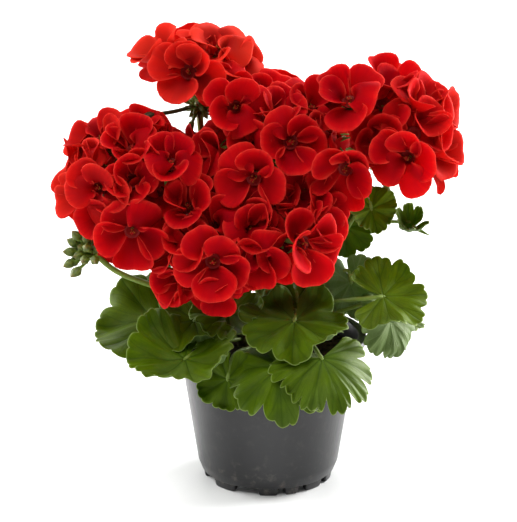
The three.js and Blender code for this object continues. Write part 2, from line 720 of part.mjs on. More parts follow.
// Peat to just below the rim, a little higher in the middle, clear of the pot's inner wall
function makeSoil() {
  const inset = WALL + CLEARANCE;
  const slope = (WALL_TOP_RADIUS - WALL_FOOT_RADIUS) / (WALL_TOP_Z - WALL_FOOT_Z);
  const edge = WALL_FOOT_RADIUS - inset + slope * (SOIL_TOP - SOIL_SHOULDER - WALL_FOOT_Z);
  return turned([
    [0, FLOOR_Z + inset], [SKIRT_RADIUS - inset, FLOOR_Z + inset], [WALL_FOOT_RADIUS - inset, WALL_FOOT_Z],
    [edge, SOIL_TOP - SOIL_SHOULDER], [edge - SOIL_SHOULDER, SOIL_TOP],
    [edge / 2, (SOIL_TOP + SOIL_CROWN) / 2], [0, SOIL_CROWN],
  ], POT_SIDES);
}

const FINISH = {
  pot: { color: 0x3a3a3c, roughness: 0.45, metalness: 0 },
  soil: { color: 0x2a1c12, roughness: 0.95, metalness: 0 },
  green: { color: 0x4c7414, roughness: 0.6, metalness: 0 },
  petal: { color: 0xc8101a, roughness: 0.6, metalness: 0 },
};

const plant = new THREE.Group();
plant.position.set(...POT_AXIS);

function place(name, solid, finish) {
  const mesh = new THREE.Mesh(toGeometry(solid), new THREE.MeshStandardMaterial(FINISH[finish]));
  mesh.name = name;
  plant.add(mesh);
}

place("pot", makePot(), "pot");

// What grew first keeps its shape, and what comes after is cut clear of it
const placed = [];
const keepOut = potKeepOut();
let soil = makeSoil();
for (const name of Object.keys(STEMS)) {
  let green = leafyStem(name, 0).subtract(keepOut);
  for (const earlier of placed) green = green.subtract(earlier);
  const fat = leafyStem(name, CLEARANCE);
  soil = soil.subtract(fat);
  placed.push(fat);
  place(`leafy_stem_${name}`, bodies(green, GREEN_SCRAP)[0], "green");
}
place("soil", bodies(soil, GREEN_SCRAP)[0], "soil");

// Florets of a head that touch are one piece, and the others are pieces of their own
let first = 1;
for (const [name, head] of Object.entries(HEADS)) {
  let petals = headPetals(name, first, 0);
  for (const earlier of placed) petals = petals.subtract(earlier);
  placed.push(headPetals(name, first, CLEARANCE));
  bodies(petals, PETAL_SCRAP).forEach((body, index) => {
    place(index ? `petals_${name}_head_${index + 1}` : `petals_${name}_head`, body, "petal");
  });
  first += head.florets.length;
}

export default plant;
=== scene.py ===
"""Looks of the potted geranium: petals, leaves, stalks, buds, peat and pot as fine meshes.
Lengths are in millimetres from the pot's axis until a piece is made; +X is the viewer's right, +Y away."""

from itertools import accumulate
import math

import bpy
import numpy as np
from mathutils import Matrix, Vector


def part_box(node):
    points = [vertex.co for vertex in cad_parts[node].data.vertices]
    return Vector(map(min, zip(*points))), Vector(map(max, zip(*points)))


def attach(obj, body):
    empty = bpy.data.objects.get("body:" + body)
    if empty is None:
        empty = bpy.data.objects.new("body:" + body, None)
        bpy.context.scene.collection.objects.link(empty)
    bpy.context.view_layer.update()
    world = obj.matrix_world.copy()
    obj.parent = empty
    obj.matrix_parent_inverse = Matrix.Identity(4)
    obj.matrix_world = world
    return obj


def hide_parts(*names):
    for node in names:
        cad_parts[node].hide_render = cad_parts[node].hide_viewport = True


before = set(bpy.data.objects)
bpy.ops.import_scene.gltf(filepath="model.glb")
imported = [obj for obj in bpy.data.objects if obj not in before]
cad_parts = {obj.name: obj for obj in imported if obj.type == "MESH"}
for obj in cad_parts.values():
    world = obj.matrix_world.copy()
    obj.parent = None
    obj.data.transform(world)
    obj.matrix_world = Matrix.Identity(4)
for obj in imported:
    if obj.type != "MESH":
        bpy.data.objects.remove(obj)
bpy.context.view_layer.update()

POT_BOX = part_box("pot")
AXIS = np.array([500 * (POT_BOX[0].x + POT_BOX[1].x), 500 * (POT_BOX[0].y + POT_BOX[1].y), 0.0])

# Camera
PITCH = 16.6
DISTANCE = 1.25
AIM_SIDE = -6
AIM_HEIGHT = 137
MM_PER_PIXEL = 0.606
IMAGE_WIDTH = 517
SENSOR = 36

# Light, with places and sizes in metres
WORLD_STRENGTH = 0.26
SUN_STRENGTH = 2.8
SUN_SPREAD = 50
SUN_PLACE = (-0.40, -0.62, 1.7)
SOFT_BOXES = [
    ["left_strip", (-1.9, 0.9, 0.45), (1.3, 1.6), 78],
    ["right_strip", (1.8, 1.0, 0.4), (1.4, 1.6), 185],
    ["back_box", (0.0, 2.2, 1.5), (1.6, 0.8), 30],
]

# Pot
POT_HEIGHT = 91
RIM_RADIUS = 60
WALL = 1.4
WALL_TOP_RADIUS = 55
WALL_TOP_Z = 86
WALL_FOOT_RADIUS = 43.4
WALL_FOOT_Z = 11
SKIRT_RADIUS = 41
FLOOR_Z = 5
FOOT_OUTER = 39.6
FOOT_INNER = 36.4
DRAIN_COUNT = 5
DRAIN_RADIUS = 3.6
DRAIN_RING = 24
FOOT_GAPS = [[-31, -9], [8.5, 15], [27, 35], [54, 62], [78, 86], [104, 125]]

# Peat
SOIL_TOP = 82
PEAT_RADIUS = 51.5
PEAT_CROWN = 2
PEAT_SIDE = [[50.9, 70], [42.5, 12], [38, 7.5], [0.3, 7.5]]
CRUMBS = 420

# Leaves
LOBES = 7
LEAF_HALF_SPAN = 175
LOBE_SPAN = math.radians(2 * LEAF_HALF_SPAN / LOBES)
LEAF_THICK = 0.45
PER_LOBE = 24
LEAF_RINGS = 14
# Leaves hang at least this far from the pot's wall
POT_GAP = 0.9

# Petals
PETAL_LENGTH = 22
PETAL_THICK = 0.42
PETAL_GRID = (12, 15)
INNER_GRID = (10, 13)
# Inner florets stand at this share of their neighbours' distance from the hub
INNER_SHARE = 0.72
TRIED_WAYS = 300
# Turn, length and width of a floret's five petals
PETALS = [[-8, 1, 1], [57, 1, 0.92], [123, 1, 0.92], [188, 1, 1], [270, 1.04, 1.06]]

# Throat, as an outline of radius and height, and what stands in it
THROAT = [[0.3, -0.9], [1.6, -0.4], [3.0, 0.9], [4.4, 2.7], [4.6, 2.6], [3.3, 0.5], [1.8, -0.9], [0.3, -1.2]]
STAMENS = 6
STYLE_TOP = 4.9
STYLE_ARMS = 5
SEPALS = 5
BRACTS = 9
CLUSTER_BRACTS = 8

# Radii of stems and stalks
STEM_RADIUS = 4.1
HEAD_STALK_RADIUS = 1.95
LEAF_STALK_RADIUS = 1.15
CLUSTER_STALK_RADIUS = 1.7
BUD_STALK_RADIUS = 0.8
PEDICEL_RADIUS = 0.75
CUP_RADIUS = 2.05

# Middle lines of the leafy stems
STEMS = {
    "left": [[-14, -2, 56], [-15, -2, 86], [-24, -4, 116]],
    "front": [[0, -13, 56], [0, -15, 86], [-4, -21, 112]],
    "right": [[15, 3, 56], [17, 3, 86], [27, 4, 118]],
    "back": [[-1, 15, 56], [-1, 17, 86], [-2, 20, 116]],
}

# Flower heads: stem, line of the stalk, florets as throat, bearing and lift, roll, opening, size
# and, for one, the number that its petals are drawn from
HEADS = {
    "top_left": ["back", [[-1.6, 18.6, 102], [-15, 20, 134], [-32, 22, 178], [-40, 24, 206],
                          [-42, 25, 229]], [
        [-47, -1, 253, -10, 22, -25, 14, 1.1],
        [-60, 16, 257, -60, 48, 10, 8, 1],
        [-31, 22, 260, -6, 62, 0, 18, 1],
        [-23, 20, 250, 50, 30, -8, 16, 0.95],
        [-44, 52, 250, 176, 22, 0, 14, 1],
    ]],
    "left": ["left", [[-23, -4, 112], [-42, -6, 140], [-62, -10, 167], [-80, -13, 186]], [
        [-97, -42, 194, -24, 8, -6, 12, 1],
        [-79, -50, 171, 2, -8, 4, 8, 1.05],
        [-57, -44, 207, 10, 46, 0, 18, 0.87],
        [-79, -28, 211, -6, 60, 8, 18, 1],
        [-98, -12, 213, -44, 42, 0, 14, 1],
        [-78, 8, 208, 12, 70, 0, 18, 0.95],
        [-108, 6, 198, -80, 18, 0, 12, 1],
        [-107, -18, 182, -60, -4, 0, 14, 0.95],
        [-98, 2, 168, -110, -24, 0, 14, 0.95],
        [-88, 20, 196, -160, 12, 0, 16, 1],
        [-64, -32, 191, 10, 4, 0, 16, 0.95],
    ]],
    "centre": ["back", [[-2, 20, 114], [1, 17, 145], [2, 8, 180], [1, 2, 200]], [
        [-20, -20, 236, 8, 14, 20, 12, 1],
        [-1, 6, 230, -4, 56, 0, 16, 1],
        [24, -3, 230, 24, 46, 0, 18, 1],
        [12, -33, 219, 12, 10, -6, 14, 1.02],
        [-8, -42, 200, -18, -4, 0, 10, 1.08],
        [19, -34, 190, 16, 6, 10, 16, 0.95],
        [-7, 28, 196, -150, -4, 0, 14, 1],
        [4, 34, 225, 178, 30, 0, 14, 1],
    ]],
    "right": ["right", [[26, 4, 114], [44, 14, 142], [62, 16, 155], [75, 12, 164], [72, 6, 178],
                        [68, 2, 196]], [
        [47, -24, 239, -12, 50, 0, 14, 1.08],
        [81, -42, 212, -26, 2, 6, 12, 1.06],
        [45, -38, 205, -16, -8, 0, 8, 1.1],
        [73, 6, 240, 8, 64, 0, 12, 1.05],
        [86, -13, 232, 36, 46, 0, 10, 1.05],
        [95, 4, 226, 62, 20, 0, 14, 1],
        [96, 12, 211, 80, 0, 36, 14, 0.7],
        [82, 38, 222, 158, 28, 0, 14, 1],
        [54, 32, 224, -150, 36, 0, 14, 1],
    ]],
    "front_left": ["front", [[-3, -18.5, 103], [-13, -24, 125], [-27, -27, 144], [-38, -30, 152]], [
        [-32, -62, 156, -2, 0, 0, 10, 1.08],
        [-50, -47, 143, -30, -16, 10, 14, 0.86],
        [-30, -56, 142, 4, -42, 0, 20, 0.85],
        [-46, -45, 181, -10, 48, 0, 18, 0.95],
        [-12, -46, 169, 20, 20, 0, 18, 0.95],
    ]],
    "front_right": ["front", [[-4, -21, 110], [1, -25, 132], [8, -25, 147], [13, -25, 158]], [
        [18, -60, 166, 34, 0, 0, 12, 1.1, 873],
        [-4, -53, 158, -14, -14, 0, 14, 0.95],
        [28, -33, 178, 30, 16, 0, 16, 0.95],
    ]],
    "back": ["back", [[-1.6, 18.8, 104], [8, 33, 132], [21, 45, 160], [30, 50, 178]], [
        [26, 84, 186, 178, 6, 0, 12, 1.05],
        [60, 68, 186, 120, 14, 0, 14, 1],
        [-2, 68, 194, -142, 20, 0, 14, 1],
        [32, 64, 212, 174, 58, 0, 16, 1],
        [44, 78, 158, 150, -26, 0, 14, 1],
        [8, 78, 160, -160, -24, 0, 14, 0.95],
    ]],
}

# The number of each head's first floret. What is drawn for a floret comes from its own number, which
# for an inner floret counts on from INNER_FIRST and ten times that of its head
FIRST = dict(zip(HEADS, accumulate((len(florets) for _, _, florets in HEADS.values()), initial=1)))
INNER_FIRST = 60

# Leaves: height on the stem, heart, bearing, lift, turn of the tip, radius, cup, fold and,
# where the gap at the stalk is wide, the half span of the blade in degrees
LEAVES = {
    "left": [
        [94, [-69, -6, 101], -18, 62, 92, 40, 0, 0.05],
        [88, [-49, -57, 94], -14, 66, 150, 34, 0.34, 0.05],
        [104, [-44, -34, 110], -14, 62, 150, 26, 0, 0.06],
        [90, [-64, 38, 95], -118, 74, 180, 32, -0.1, 0.05],
        [112, [-55, 22, 131], -112, 56, 180, 26, -0.1, 0.06],
    ],
    "front": [
        [88, [-24, -61, 83], -18, 14, 170, 21, -0.05, 0.03],
        [90, [6, -70, 93.5], -4, 52, 184, 31, -0.42, 0.03],
        [94, [30.5, -73, 100], 12, 54, 198, 33, -0.42, 0.03, 118],
        [104, [15, -50, 115], 2, 74, 176, 34, -0.03, 0.03],
        [108, [-24, -36, 116], -8, 62, 190, 24, 0, 0.06],
        [110, [17, -27, 120], 4, 48, 186, 20, 0, 0.05],
    ],
    "right": [
        [104, [68, -30, 124], 16, 52, -88, 28, 0.02, 0.06, 154],
        [96, [73, -25, 108], 222, -28, -180, 25, 0.2, -0.08, 160],
        [108, [50, -2, 124], 190, 8, -200, 23, -0.1, -0.35],
        [122, [47, 4, 157], 5, 14, 180, 18.5, -0.04, 0.12],
        [126, [61.5, -5, 171], 16, 30, 190, 16, 0, 0.4],
        [94, [70, 26, 102], 100, 68, 180, 32, -0.1, 0.05],
    ],
    "back": [
        [90, [34, 57, 98], 150, 62, 180, 35, -0.08, 0.05],
        [96, [-14, 62, 110], -170, 60, 180, 34, -0.08, 0.05],
        [110, [-13, 55, 134], -168, 54, 180, 27, -0.08, 0.06],
    ],
}
CURLED_LEAF = [[86, 8.7, 154.5], 12, 56, 110, 11, 0.85, 0.45]
CURLED_TIP = [[87, 5, 157.5], [9, -2, -6.5], 12]
CURLED_STALK = [[60, 16, 154], [74, 13, 158], [86, 9, 159]]

BUD_STALK = [[-21, -3, 106], [-40, -18, 116], [-66, -34, 131], [-90, -34, 141], [-103, -31, 151]]
BUD_AXIS = [-0.84, -0.3, 0.72]
BUD_CAP = 0.88
BUD_COUNT = 26
BUD_REACH = 22
BUD_LENGTH = 8
BUD_WIDTH = 6.2
# Lone buds: stem, root, end, length, width, share of red, share of brown
LONE_BUDS = [
    ["back", [-42, 25, 229], [-79, 10, 222], 15, 6.4, 0, 0.85],
    ["back", [-42, 25, 229], [-49, 8, 212], 11, 5, 1, 0.3],
    ["left", [-80, -13, 186], [-29, 3, 218], 17, 6.4, 1, 0.6],
]
# Buds round the top left hub, of three times as many directions
HUB_BUDS = 13

# Places with their radii that stay free of inner florets
OPENINGS = [[-25, -6, 216, 13], [-53, -7, 202, 9], [25, -7, 185, 7], [-23, 7, 212, 10], [14, -45, 142, 15],
            [-98, -22, 170, 13], [32, -38, 149, 19], [94, -8, 194, 13]]
# Least angle in degrees between florets of a head, for the inner ones
INNER_APART = 25
INNER_APART_TOP_LEFT = 30
# Inner florets that stand at places of their own
FILLERS = {"right": [[63, -22, 214, 0, 16, 0, 16, 1], [84, -20, 220, 12, 26, 0, 2, 1, 731],
                      [67, -8, 235, 6, 46, 0, 4, 1.12]],
           "front_right": [[8, -47, 159, -5, -5, 0, 20, 0.85, 731]]}

random = np.random.default_rng(7)


def smooth(x):
    c = np.clip(x, 0, 1)
    return c * c * (3 - 2 * c)


def draw(i, j):
    """A repeatable draw from 0 to 1 for two whole numbers."""
    s = math.sin(i * 12.9898 + j * 78.233) * 43758.5453
    return s - math.floor(s)


def between(least, most, i, j):
    return least + (most - least) * draw(i, j)


def unit(v):
    v = np.asarray(v, float)
    return v / np.linalg.norm(v)


def facing(at, bearing, lift, roll):
    """Place and axes of a floret or leaf: its last axis is the way it faces."""
    b, up_by, r = math.radians(bearing), math.radians(lift), math.radians(roll)
    face = np.array([math.sin(b) * math.cos(up_by), -math.cos(b) * math.cos(up_by), math.sin(up_by)])
    up = np.array([0, 0.25, 1.0])
    upright = unit(up - face * up.dot(face))
    side = np.cross(upright, face)
    turned = [math.cos(r) * side + math.sin(r) * upright, math.cos(r) * upright - math.sin(r) * side, face]
    return np.array(at, float), np.array(turned)


def placed(points, where):
    at, axes = where
    return np.asarray(points, float) @ axes + at


def curve(points, count):
    """Evenly spaced places on a smooth line through the points, a centripetal Catmull-Rom curve."""
    p = np.asarray(points, float)
    p = np.vstack([2 * p[0] - p[1], p, 2 * p[-1] - p[-2]])
    dense = []
    for k in range(1, len(p) - 2):
        d0, d1, d2 = (max(np.linalg.norm(p[k + s] - p[k + s - 1]) ** 0.5, 1e-4) for s in (0, 1, 2))
        t1 = ((p[k] - p[k - 1]) / d0 - (p[k + 1] - p[k - 1]) / (d0 + d1) + (p[k + 1] - p[k]) / d1) * d1
        t2 = ((p[k + 1] - p[k]) / d1 - (p[k + 2] - p[k]) / (d1 + d2) + (p[k + 2] - p[k + 1]) / d2) * d1
        t = np.linspace(0, 1, 40, endpoint=False)[:, None]
        dense.append(p[k] + t1 * t + (3 * (p[k + 1] - p[k]) - 2 * t1 - t2) * t ** 2
                     + (2 * (p[k] - p[k + 1]) + t1 + t2) * t ** 3)
    dense = np.vstack([*dense, p[-2]])
    walked = np.concatenate([[0], np.cumsum(np.linalg.norm(np.diff(dense, axis=0), axis=1))])
    wanted = np.linspace(0, walked[-1], count)
    return np.stack([np.interp(wanted, walked, dense[:, c]) for c in range(3)], axis=1)


class Shell:
    """Points, faces and point values of a piece, gathered part by part."""

    def __init__(self, *names):
        self.points, self.faces, self.total = [], [], 0
        self.values = {name: [] for name in names}

    def add(self, points, faces, **values):
        points = np.asarray(points, float).reshape(-1, 3)
        faces = np.asarray(faces, int)
        self.points.append(points)
        self.faces.append(np.where(faces < 0, -1, faces + self.total))
        self.total += len(points)
        for name, kept in self.values.items():
            kept.append(np.broadcast_to(np.asarray(values.get(name, 0.0), float).ravel(), (len(points),)))

    def piece(self, name, material, slot, nodes):
        points = (np.concatenate(self.points) + AXIS) / 1000
        faces = np.concatenate(self.faces)
        mesh = bpy.data.meshes.new(name)
        mesh.vertices.add(len(points))
        mesh.vertices.foreach_set("co", points.ravel())
        loops = faces[faces >= 0]
        mesh.loops.add(len(loops))
        mesh.loops.foreach_set("vertex_index", loops)
        mesh.polygons.add(len(faces))
        sizes = np.where(faces[:, 3] < 0, 3, 4)
        mesh.polygons.foreach_set("loop_start", np.concatenate([[0], np.cumsum(sizes)[:-1]]))
        mesh.update(calc_edges=True)
        mesh.validate()
        for value_name, kept in self.values.items():
            layer = mesh.attributes.new(value_name, "FLOAT", "POINT")
            layer.data.foreach_set("value", np.concatenate(kept).astype(np.float32))
        mesh.shade_smooth()
        return ride_piece(name, mesh, material, nodes)


def ride_piece(name, mesh, material, nodes):
    piece = bpy.data.objects.new(name, mesh)
    bpy.context.scene.collection.objects.link(piece)
    mesh.materials.append(material)
    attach(piece, "root")
    if nodes:
        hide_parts(*nodes)
    return piece


def grid_faces(rows, columns, closed=False, looped=False):
    """Quads of a grid of points; closed joins the last column to the first, looped the last row."""
    i, j = np.meshgrid(np.arange(rows if looped else rows - 1), np.arange(columns if closed else columns - 1),
                       indexing="ij")
    i, j = i.ravel(), j.ravel()
    right, below = (j + 1) % columns, (i + 1) % rows
    corners = (i, j), (below, j), (below, right), (i, right)
    return np.stack([row * columns + column for row, column in corners], axis=1)


def capped_faces(rings, sides):
    """Faces of a tube of rings, with a fan at each end to the two points that follow the rings."""
    k = np.arange(sides)
    after = (k + 1) % sides
    last, count = (rings - 1) * sides, rings * sides
    gone = np.full(sides, -1)
    first_fan = np.stack([np.full(sides, count), after, k, gone], axis=1)
    last_fan = np.stack([np.full(sides, count + 1), last + k, last + after, gone], axis=1)
    return np.concatenate([grid_faces(rings, sides, closed=True)[:, ::-1], first_fan, last_fan])


def lathe(profile, sides):
    """Points and faces of a closed outline of radius and height, turned round the axis."""
    profile = np.asarray(profile, float)
    angle = 2 * math.pi * np.arange(sides) / sides
    rings = np.stack([profile[:, :1] * np.cos(angle), profile[:, :1] * np.sin(angle),
                      np.broadcast_to(profile[:, 1:], (len(profile), sides))], axis=2)
    return rings.reshape(-1, 3), grid_faces(len(profile), sides, closed=True, looped=True)


def blade(shell, grid, thick, **values):
    """Closed thin blade from a grid of points, with a value `under` of 0 on top and 1 below.
    Its upper side is where rows crossed with columns point."""
    rows, columns = grid.shape[:2]
    normal = np.cross(np.gradient(grid, axis=0), np.gradient(grid, axis=1))
    normal /= np.maximum(np.linalg.norm(normal, axis=2, keepdims=True), 1e-9)
    half = np.broadcast_to(np.asarray(thick, float), (rows, columns))[..., None] / 2
    points = np.concatenate([(grid + normal * half).reshape(-1, 3), (grid - normal * half).reshape(-1, 3)])
    count = rows * columns
    top = grid_faces(rows, columns)
    index = np.arange(count).reshape(rows, columns)
    rim = np.concatenate([index[:, 0], index[-1, 1:], index[-2::-1, -1], index[0, -2:0:-1]])
    after = np.roll(rim, -1)
    walls = np.stack([rim, rim + count, after + count, after], axis=1)
    both = {name: np.tile(np.broadcast_to(np.asarray(v, float), (rows, columns)).ravel(), 2)
            for name, v in values.items()}
    both["under"] = np.repeat([0.0, 1.0], count)
    shell.add(points, np.concatenate([top, top[:, ::-1] + count, walls]), **both)


def tube(shell, path, radii, sides, **values):
    """Closed round tube along a path, with a radius at each of its points."""
    path = np.asarray(path, float)
    radii = np.broadcast_to(np.asarray(radii, float), (len(path),))
    ahead = np.gradient(path, axis=0)
    ahead /= np.linalg.norm(ahead, axis=1, keepdims=True)
    start = np.array([0, 0, 1.0]) if abs(ahead[0][2]) < 0.9 else np.array([1.0, 0, 0])
    side = unit(np.cross(ahead[0], start))
    angle = 2 * math.pi * np.arange(sides) / sides
    rings = []
    for place, way, radius in zip(path, ahead, radii):
        side = unit(side - way * side.dot(way))
        other = np.cross(way, side)
        rings.append(place + radius * (np.cos(angle)[:, None] * side + np.sin(angle)[:, None] * other))
    count = len(path)
    points = np.concatenate([np.concatenate(rings), [path[0] - ahead[0] * radii[0] * 0.5],
                             [path[-1] + ahead[-1] * radii[-1] * 0.5]])
    spread = {name: np.concatenate([np.repeat(np.broadcast_to(np.asarray(v, float), (count,)), sides),
                                    np.broadcast_to(np.asarray(v, float), (count,))[[0, -1]]])
              for name, v in values.items()}
    shell.add(points, capped_faces(count, sides), **spread)


def lump(shell, at, axis, length, width, sides, rings, **values):
    """Egg of the given length and width along an axis, from `at`."""
    v = np.linspace(0.02, 0.98, rings)
    radii = width / 2 * np.sin(math.pi * v ** 0.9) ** 0.62
    along = 0.5 - 0.5 * np.cos(math.pi * v)
    path = np.asarray(at, float) + np.outer(along * length, unit(axis))
    tube(shell, path, np.maximum(radii, 0.05), sides, **values)


# Materials

class Paint:
    """Node tree of one material, with short calls for its nodes."""

    def __init__(self, name):
        self.material = bpy.data.materials.new(name)
        self.material.use_nodes = True
        self.tree = self.material.node_tree
        self.tree.nodes.clear()
        self.output = self.tree.nodes.new("ShaderNodeOutputMaterial")

    def feed(self, socket, value):
        if isinstance(value, bpy.types.NodeSocket):
            self.tree.links.new(value, socket)
        elif isinstance(value, (tuple, list)) and len(value) == 3 and len(socket.default_value) == 4:
            socket.default_value = (*value, 1)
        else:
            socket.default_value = value

    def node(self, kind, inputs=(), **settings):
        made = self.tree.nodes.new(kind)
        for key, value in settings.items():
            setattr(made, key, value)
        for key, value in dict(inputs).items():
            self.feed(made.inputs[key], value)
        return made

    def value(self, name):
        return self.node("ShaderNodeAttribute", attribute_name=name).outputs["Fac"]

    def values(self, names):
        return [self.value(name) for name in names.split()]

    def math(self, operation, a, b=0.0, c=0.0):
        return self.node("ShaderNodeMath", {0: a, 1: b, 2: c}, operation=operation).outputs[0]

    def range(self, value, low, high, to_low=0.0, to_high=1.0):
        return self.node("ShaderNodeMapRange", {0: value, 1: low, 2: high, 3: to_low, 4: to_high},
                         interpolation_type="SMOOTHSTEP").outputs[0]

    def times(self, a, b):
        return self.math("MULTIPLY", a, b)

    def rest(self, a):
        return self.math("SUBTRACT", 1.0, a)

    def mix(self, share, a, b):
        return self.node("ShaderNodeMix", {0: share, 6: a, 7: b}, data_type="RGBA").outputs[2]

    def layers(self, colour, *coats):
        """Colour with coats laid over it in turn, each a place, a strength and a colour."""
        for place, strength, tone in coats:
            colour = self.mix(self.times(place, strength), colour, tone)
        return colour

    def ramp(self, value, *stops):
        made = self.node("ShaderNodeValToRGB", {0: value})
        elements = made.color_ramp.elements
        while len(elements) < len(stops):
            elements.new(0.5)
        for element, (place, colour) in zip(elements, stops):
            element.position = place
            element.color = (*colour, 1)
        return made.outputs[0]

    def noise(self, scale, detail=3.0, rough=0.55, at=None):
        at = at or self.node("ShaderNodeTexCoord").outputs["Object"]
        inputs = {"Vector": at, "Scale": scale, "Detail": detail, "Roughness": rough}
        return self.node("ShaderNodeTexNoise", inputs).outputs["Fac"]

    def cells(self, scale):
        inputs = {"Vector": self.node("ShaderNodeTexCoord").outputs["Object"], "Scale": scale}
        return self.node("ShaderNodeTexVoronoi", inputs, feature="DISTANCE_TO_EDGE").outputs["Distance"]

    def vector(self, x, y, z):
        return self.node("ShaderNodeCombineXYZ", {0: x, 1: y, 2: z}).outputs[0]

    def relief(self, *bumps):
        """Bumps laid over each other, each a height, its depth in millimetres and its strength."""
        inputs = {}
        for height, millimetres, strength in bumps:
            inputs.update({"Height": height, "Distance": millimetres / 1000, "Strength": strength})
            inputs["Normal"] = self.node("ShaderNodeBump", inputs).outputs[0]
        return inputs["Normal"]

    def finish(self, see_through=0.0, glow=(1, 1, 1), sheen=(0, 0.5, (1, 1, 1)), **inputs):
        """Principled shader with these inputs, its sheen as weight, roughness and tint, mixed with a glow of
        light from behind by the share see_through."""
        inputs.update(zip(("Sheen_Weight", "Sheen_Roughness", "Sheen_Tint"), sheen))
        spaced = {key.replace("_", " "): value for key, value in inputs.items()}
        shader = self.node("ShaderNodeBsdfPrincipled", spaced)
        out = shader.outputs[0]
        if see_through:
            thin = self.node("ShaderNodeBsdfTranslucent", {"Color": glow})
            out = self.node("ShaderNodeMixShader", {0: see_through, 1: out, 2: thin.outputs[0]}).outputs[0]
        self.tree.links.new(out, self.output.inputs["Surface"])
        return self.material


def petal_paint():
    p = Paint("petal_velvet")
    reach, side, tint, glow, under = p.values("reach side tint glow under")
    across = p.math("MULTIPLY_ADD", side, 7.0, p.times(tint, 40.0))
    streak = p.noise(1.0, 4.0, 0.6, p.vector(across, p.times(reach, 1.1), tint))
    to_rim = p.math("MINIMUM", p.rest(reach), p.times(p.rest(p.math("ABSOLUTE", side)), 0.9))
    # Painted shade and light: each petal is painted dark crimson in the middle of its bowl and bright
    # orange-red at its rim, a painted highlight of light shining through the rim.
    from_rim = p.ramp(to_rim, (0.0, (0.84, 0.060, 0.035)), (0.03, (0.68, 0.018, 0.013)),
                      (0.13, (0.51, 0.002, 0.005)), (0.36, (0.31, 0.0, 0.003)), (0.62, (0.18, 0.0, 0.002)))
    colour = p.layers(
        from_rim,
        (p.range(reach, 0.20, 0.02), 1, (0.13, 0.0, 0.003)),
        (p.range(streak, 0.62, 0.36), 0.38, (0.22, 0.0, 0.008)),
        (p.range(p.noise(90, 2.0), 0.4, 0.7), 0.25, (0.36, 0.0, 0.010)),
        (tint, 0.16, (0.84, 0.014, 0.012)),
        (under, 0.30, (0.62, 0.010, 0.012)),
        # Painted backlight: petals of the outer florets and the top left head painted orange-red, as if lit
        # through from behind.
        (glow, p.range(reach, 0.1, 0.9, 0.15, 1.0), (0.92, 0.085, 0.035)))
    relief = p.relief((streak, 0.12, 0.5), (p.noise(1500, 2.0), 0.05, 0.5))
    return p.finish(0.30, (0.92, 0.020, 0.005), Base_Color=colour, Roughness=0.6, Normal=relief,
                    sheen=(0.04, 0.30, (1.0, 0.05, 0.02)), Specular_IOR_Level=0.02)


def heart_paint():
    p = Paint("flower_heart")
    speck = p.noise(2200, 3.0)
    colour = p.ramp(p.value("kind"), (0.0, (0.20, 0.0, 0.003)), (0.2, (0.22, 0.0, 0.004)),
                    (0.5, (0.48, 0.006, 0.008)), (1.0, (0.42, 0.12, 0.015)))
    colour = p.mix(p.range(speck, 0.4, 0.65), p.mix(0.35, colour, (0.16, 0.02, 0.004)), colour)
    return p.finish(Base_Color=colour, Roughness=0.6, Normal=p.relief((speck, 0.06, 0.6)),
                    Specular_IOR_Level=0.15)


def leaf_veins(p, step, reach, radius):
    """How far a place is from the middle of its lobe, and how much it is on a vein."""
    off_middle = p.math("ABSOLUTE", p.math("SUBTRACT", p.math("FRACT", step), 0.5))
    across = p.times(p.times(reach, radius), LOBE_SPAN)
    grown = p.math("MAXIMUM", p.math("DIVIDE", p.math("SUBTRACT", reach, 0.40), 0.60), 0.0)
    branch_off = p.times(p.math("POWER", grown, 0.8), 0.33)
    branch = p.times(p.math("ABSOLUTE", p.math("SUBTRACT", off_middle, branch_off)), across)
    branch = p.math("ADD", branch, p.range(grown, 0.12, 0.0, 0.0, 4.0))
    main = p.range(p.times(off_middle, across), 0.75, 0.1)
    veins = p.math("MAXIMUM", main, p.times(p.range(branch, 0.6, 0.08), 0.75))
    return off_middle, p.math("MAXIMUM", veins, p.times(p.range(p.cells(330), 0.10, 0.0), 0.30))


def leaf_paint():
    p = Paint("scalloped_leaf")
    step, reach, radius, under, tint = p.values("step reach radius under tint")
    off_middle, veins = leaf_veins(p, step, reach, radius)
    # Painted sheen: random pale grey-green patches laid into the leaf colour in place of the sheen of its
    # fine hairs.
    painted_sheen = p.range(p.noise(26, 2.0), 0.50, 0.66)
    streak = p.noise(1.0, 3.0, 0.6, p.vector(p.times(step, 5.0), p.times(reach, 2.2), radius))
    from_rim = p.times(p.rest(reach), radius)
    upper = p.layers(
        (0.027, 0.056, 0.0),
        (p.range(p.noise(70, 3.0), 0.35, 0.68), 1, (0.064, 0.120, 0.0)),
        # Painted shade: each lobe is painted darker down its middle vein valley and lighter towards the pleat
        # ridges between lobes.
        (p.range(off_middle, 0.05, 0.5), 0.55, (0.086, 0.150, 0.0)),
        (tint, 0.55, (0.135, 0.205, 0.0)),
        (painted_sheen, 0.36, (0.085, 0.132, 0.034)),
        (p.range(reach, 0.45, 0.05), 0.35, (0.10, 0.19, 0.012)),
        (p.range(streak, 0.60, 0.38), 0.40, (0.026, 0.054, 0.001)),
        (veins, 0.50, (0.014, 0.034, 0.001)),
        # Painted highlight: a thin pale band along the margin, where the fine hairs of the edge catch the
        # light.
        (p.range(from_rim, 0.60, 0.10), 0.75, (0.26, 0.35, 0.08)))
    lower = p.mix(p.times(veins, 0.6), (0.095, 0.145, 0.042), (0.165, 0.23, 0.08))
    sunk = p.math("SUBTRACT", p.noise(420, 3.0), p.times(veins, 0.8))
    relief = p.relief((sunk, 0.22, 0.7), (p.noise(2600, 2.0), 0.04, 0.5))
    return p.finish(0.20, (0.18, 0.34, 0.002), Base_Color=p.mix(under, upper, lower), Roughness=0.52,
                    Normal=relief, sheen=(0.02, 0.42, (0.70, 0.90, 0.40)),
                    Specular_IOR_Level=0.16, Specular_Tint=(0.95, 1.0, 0.5))


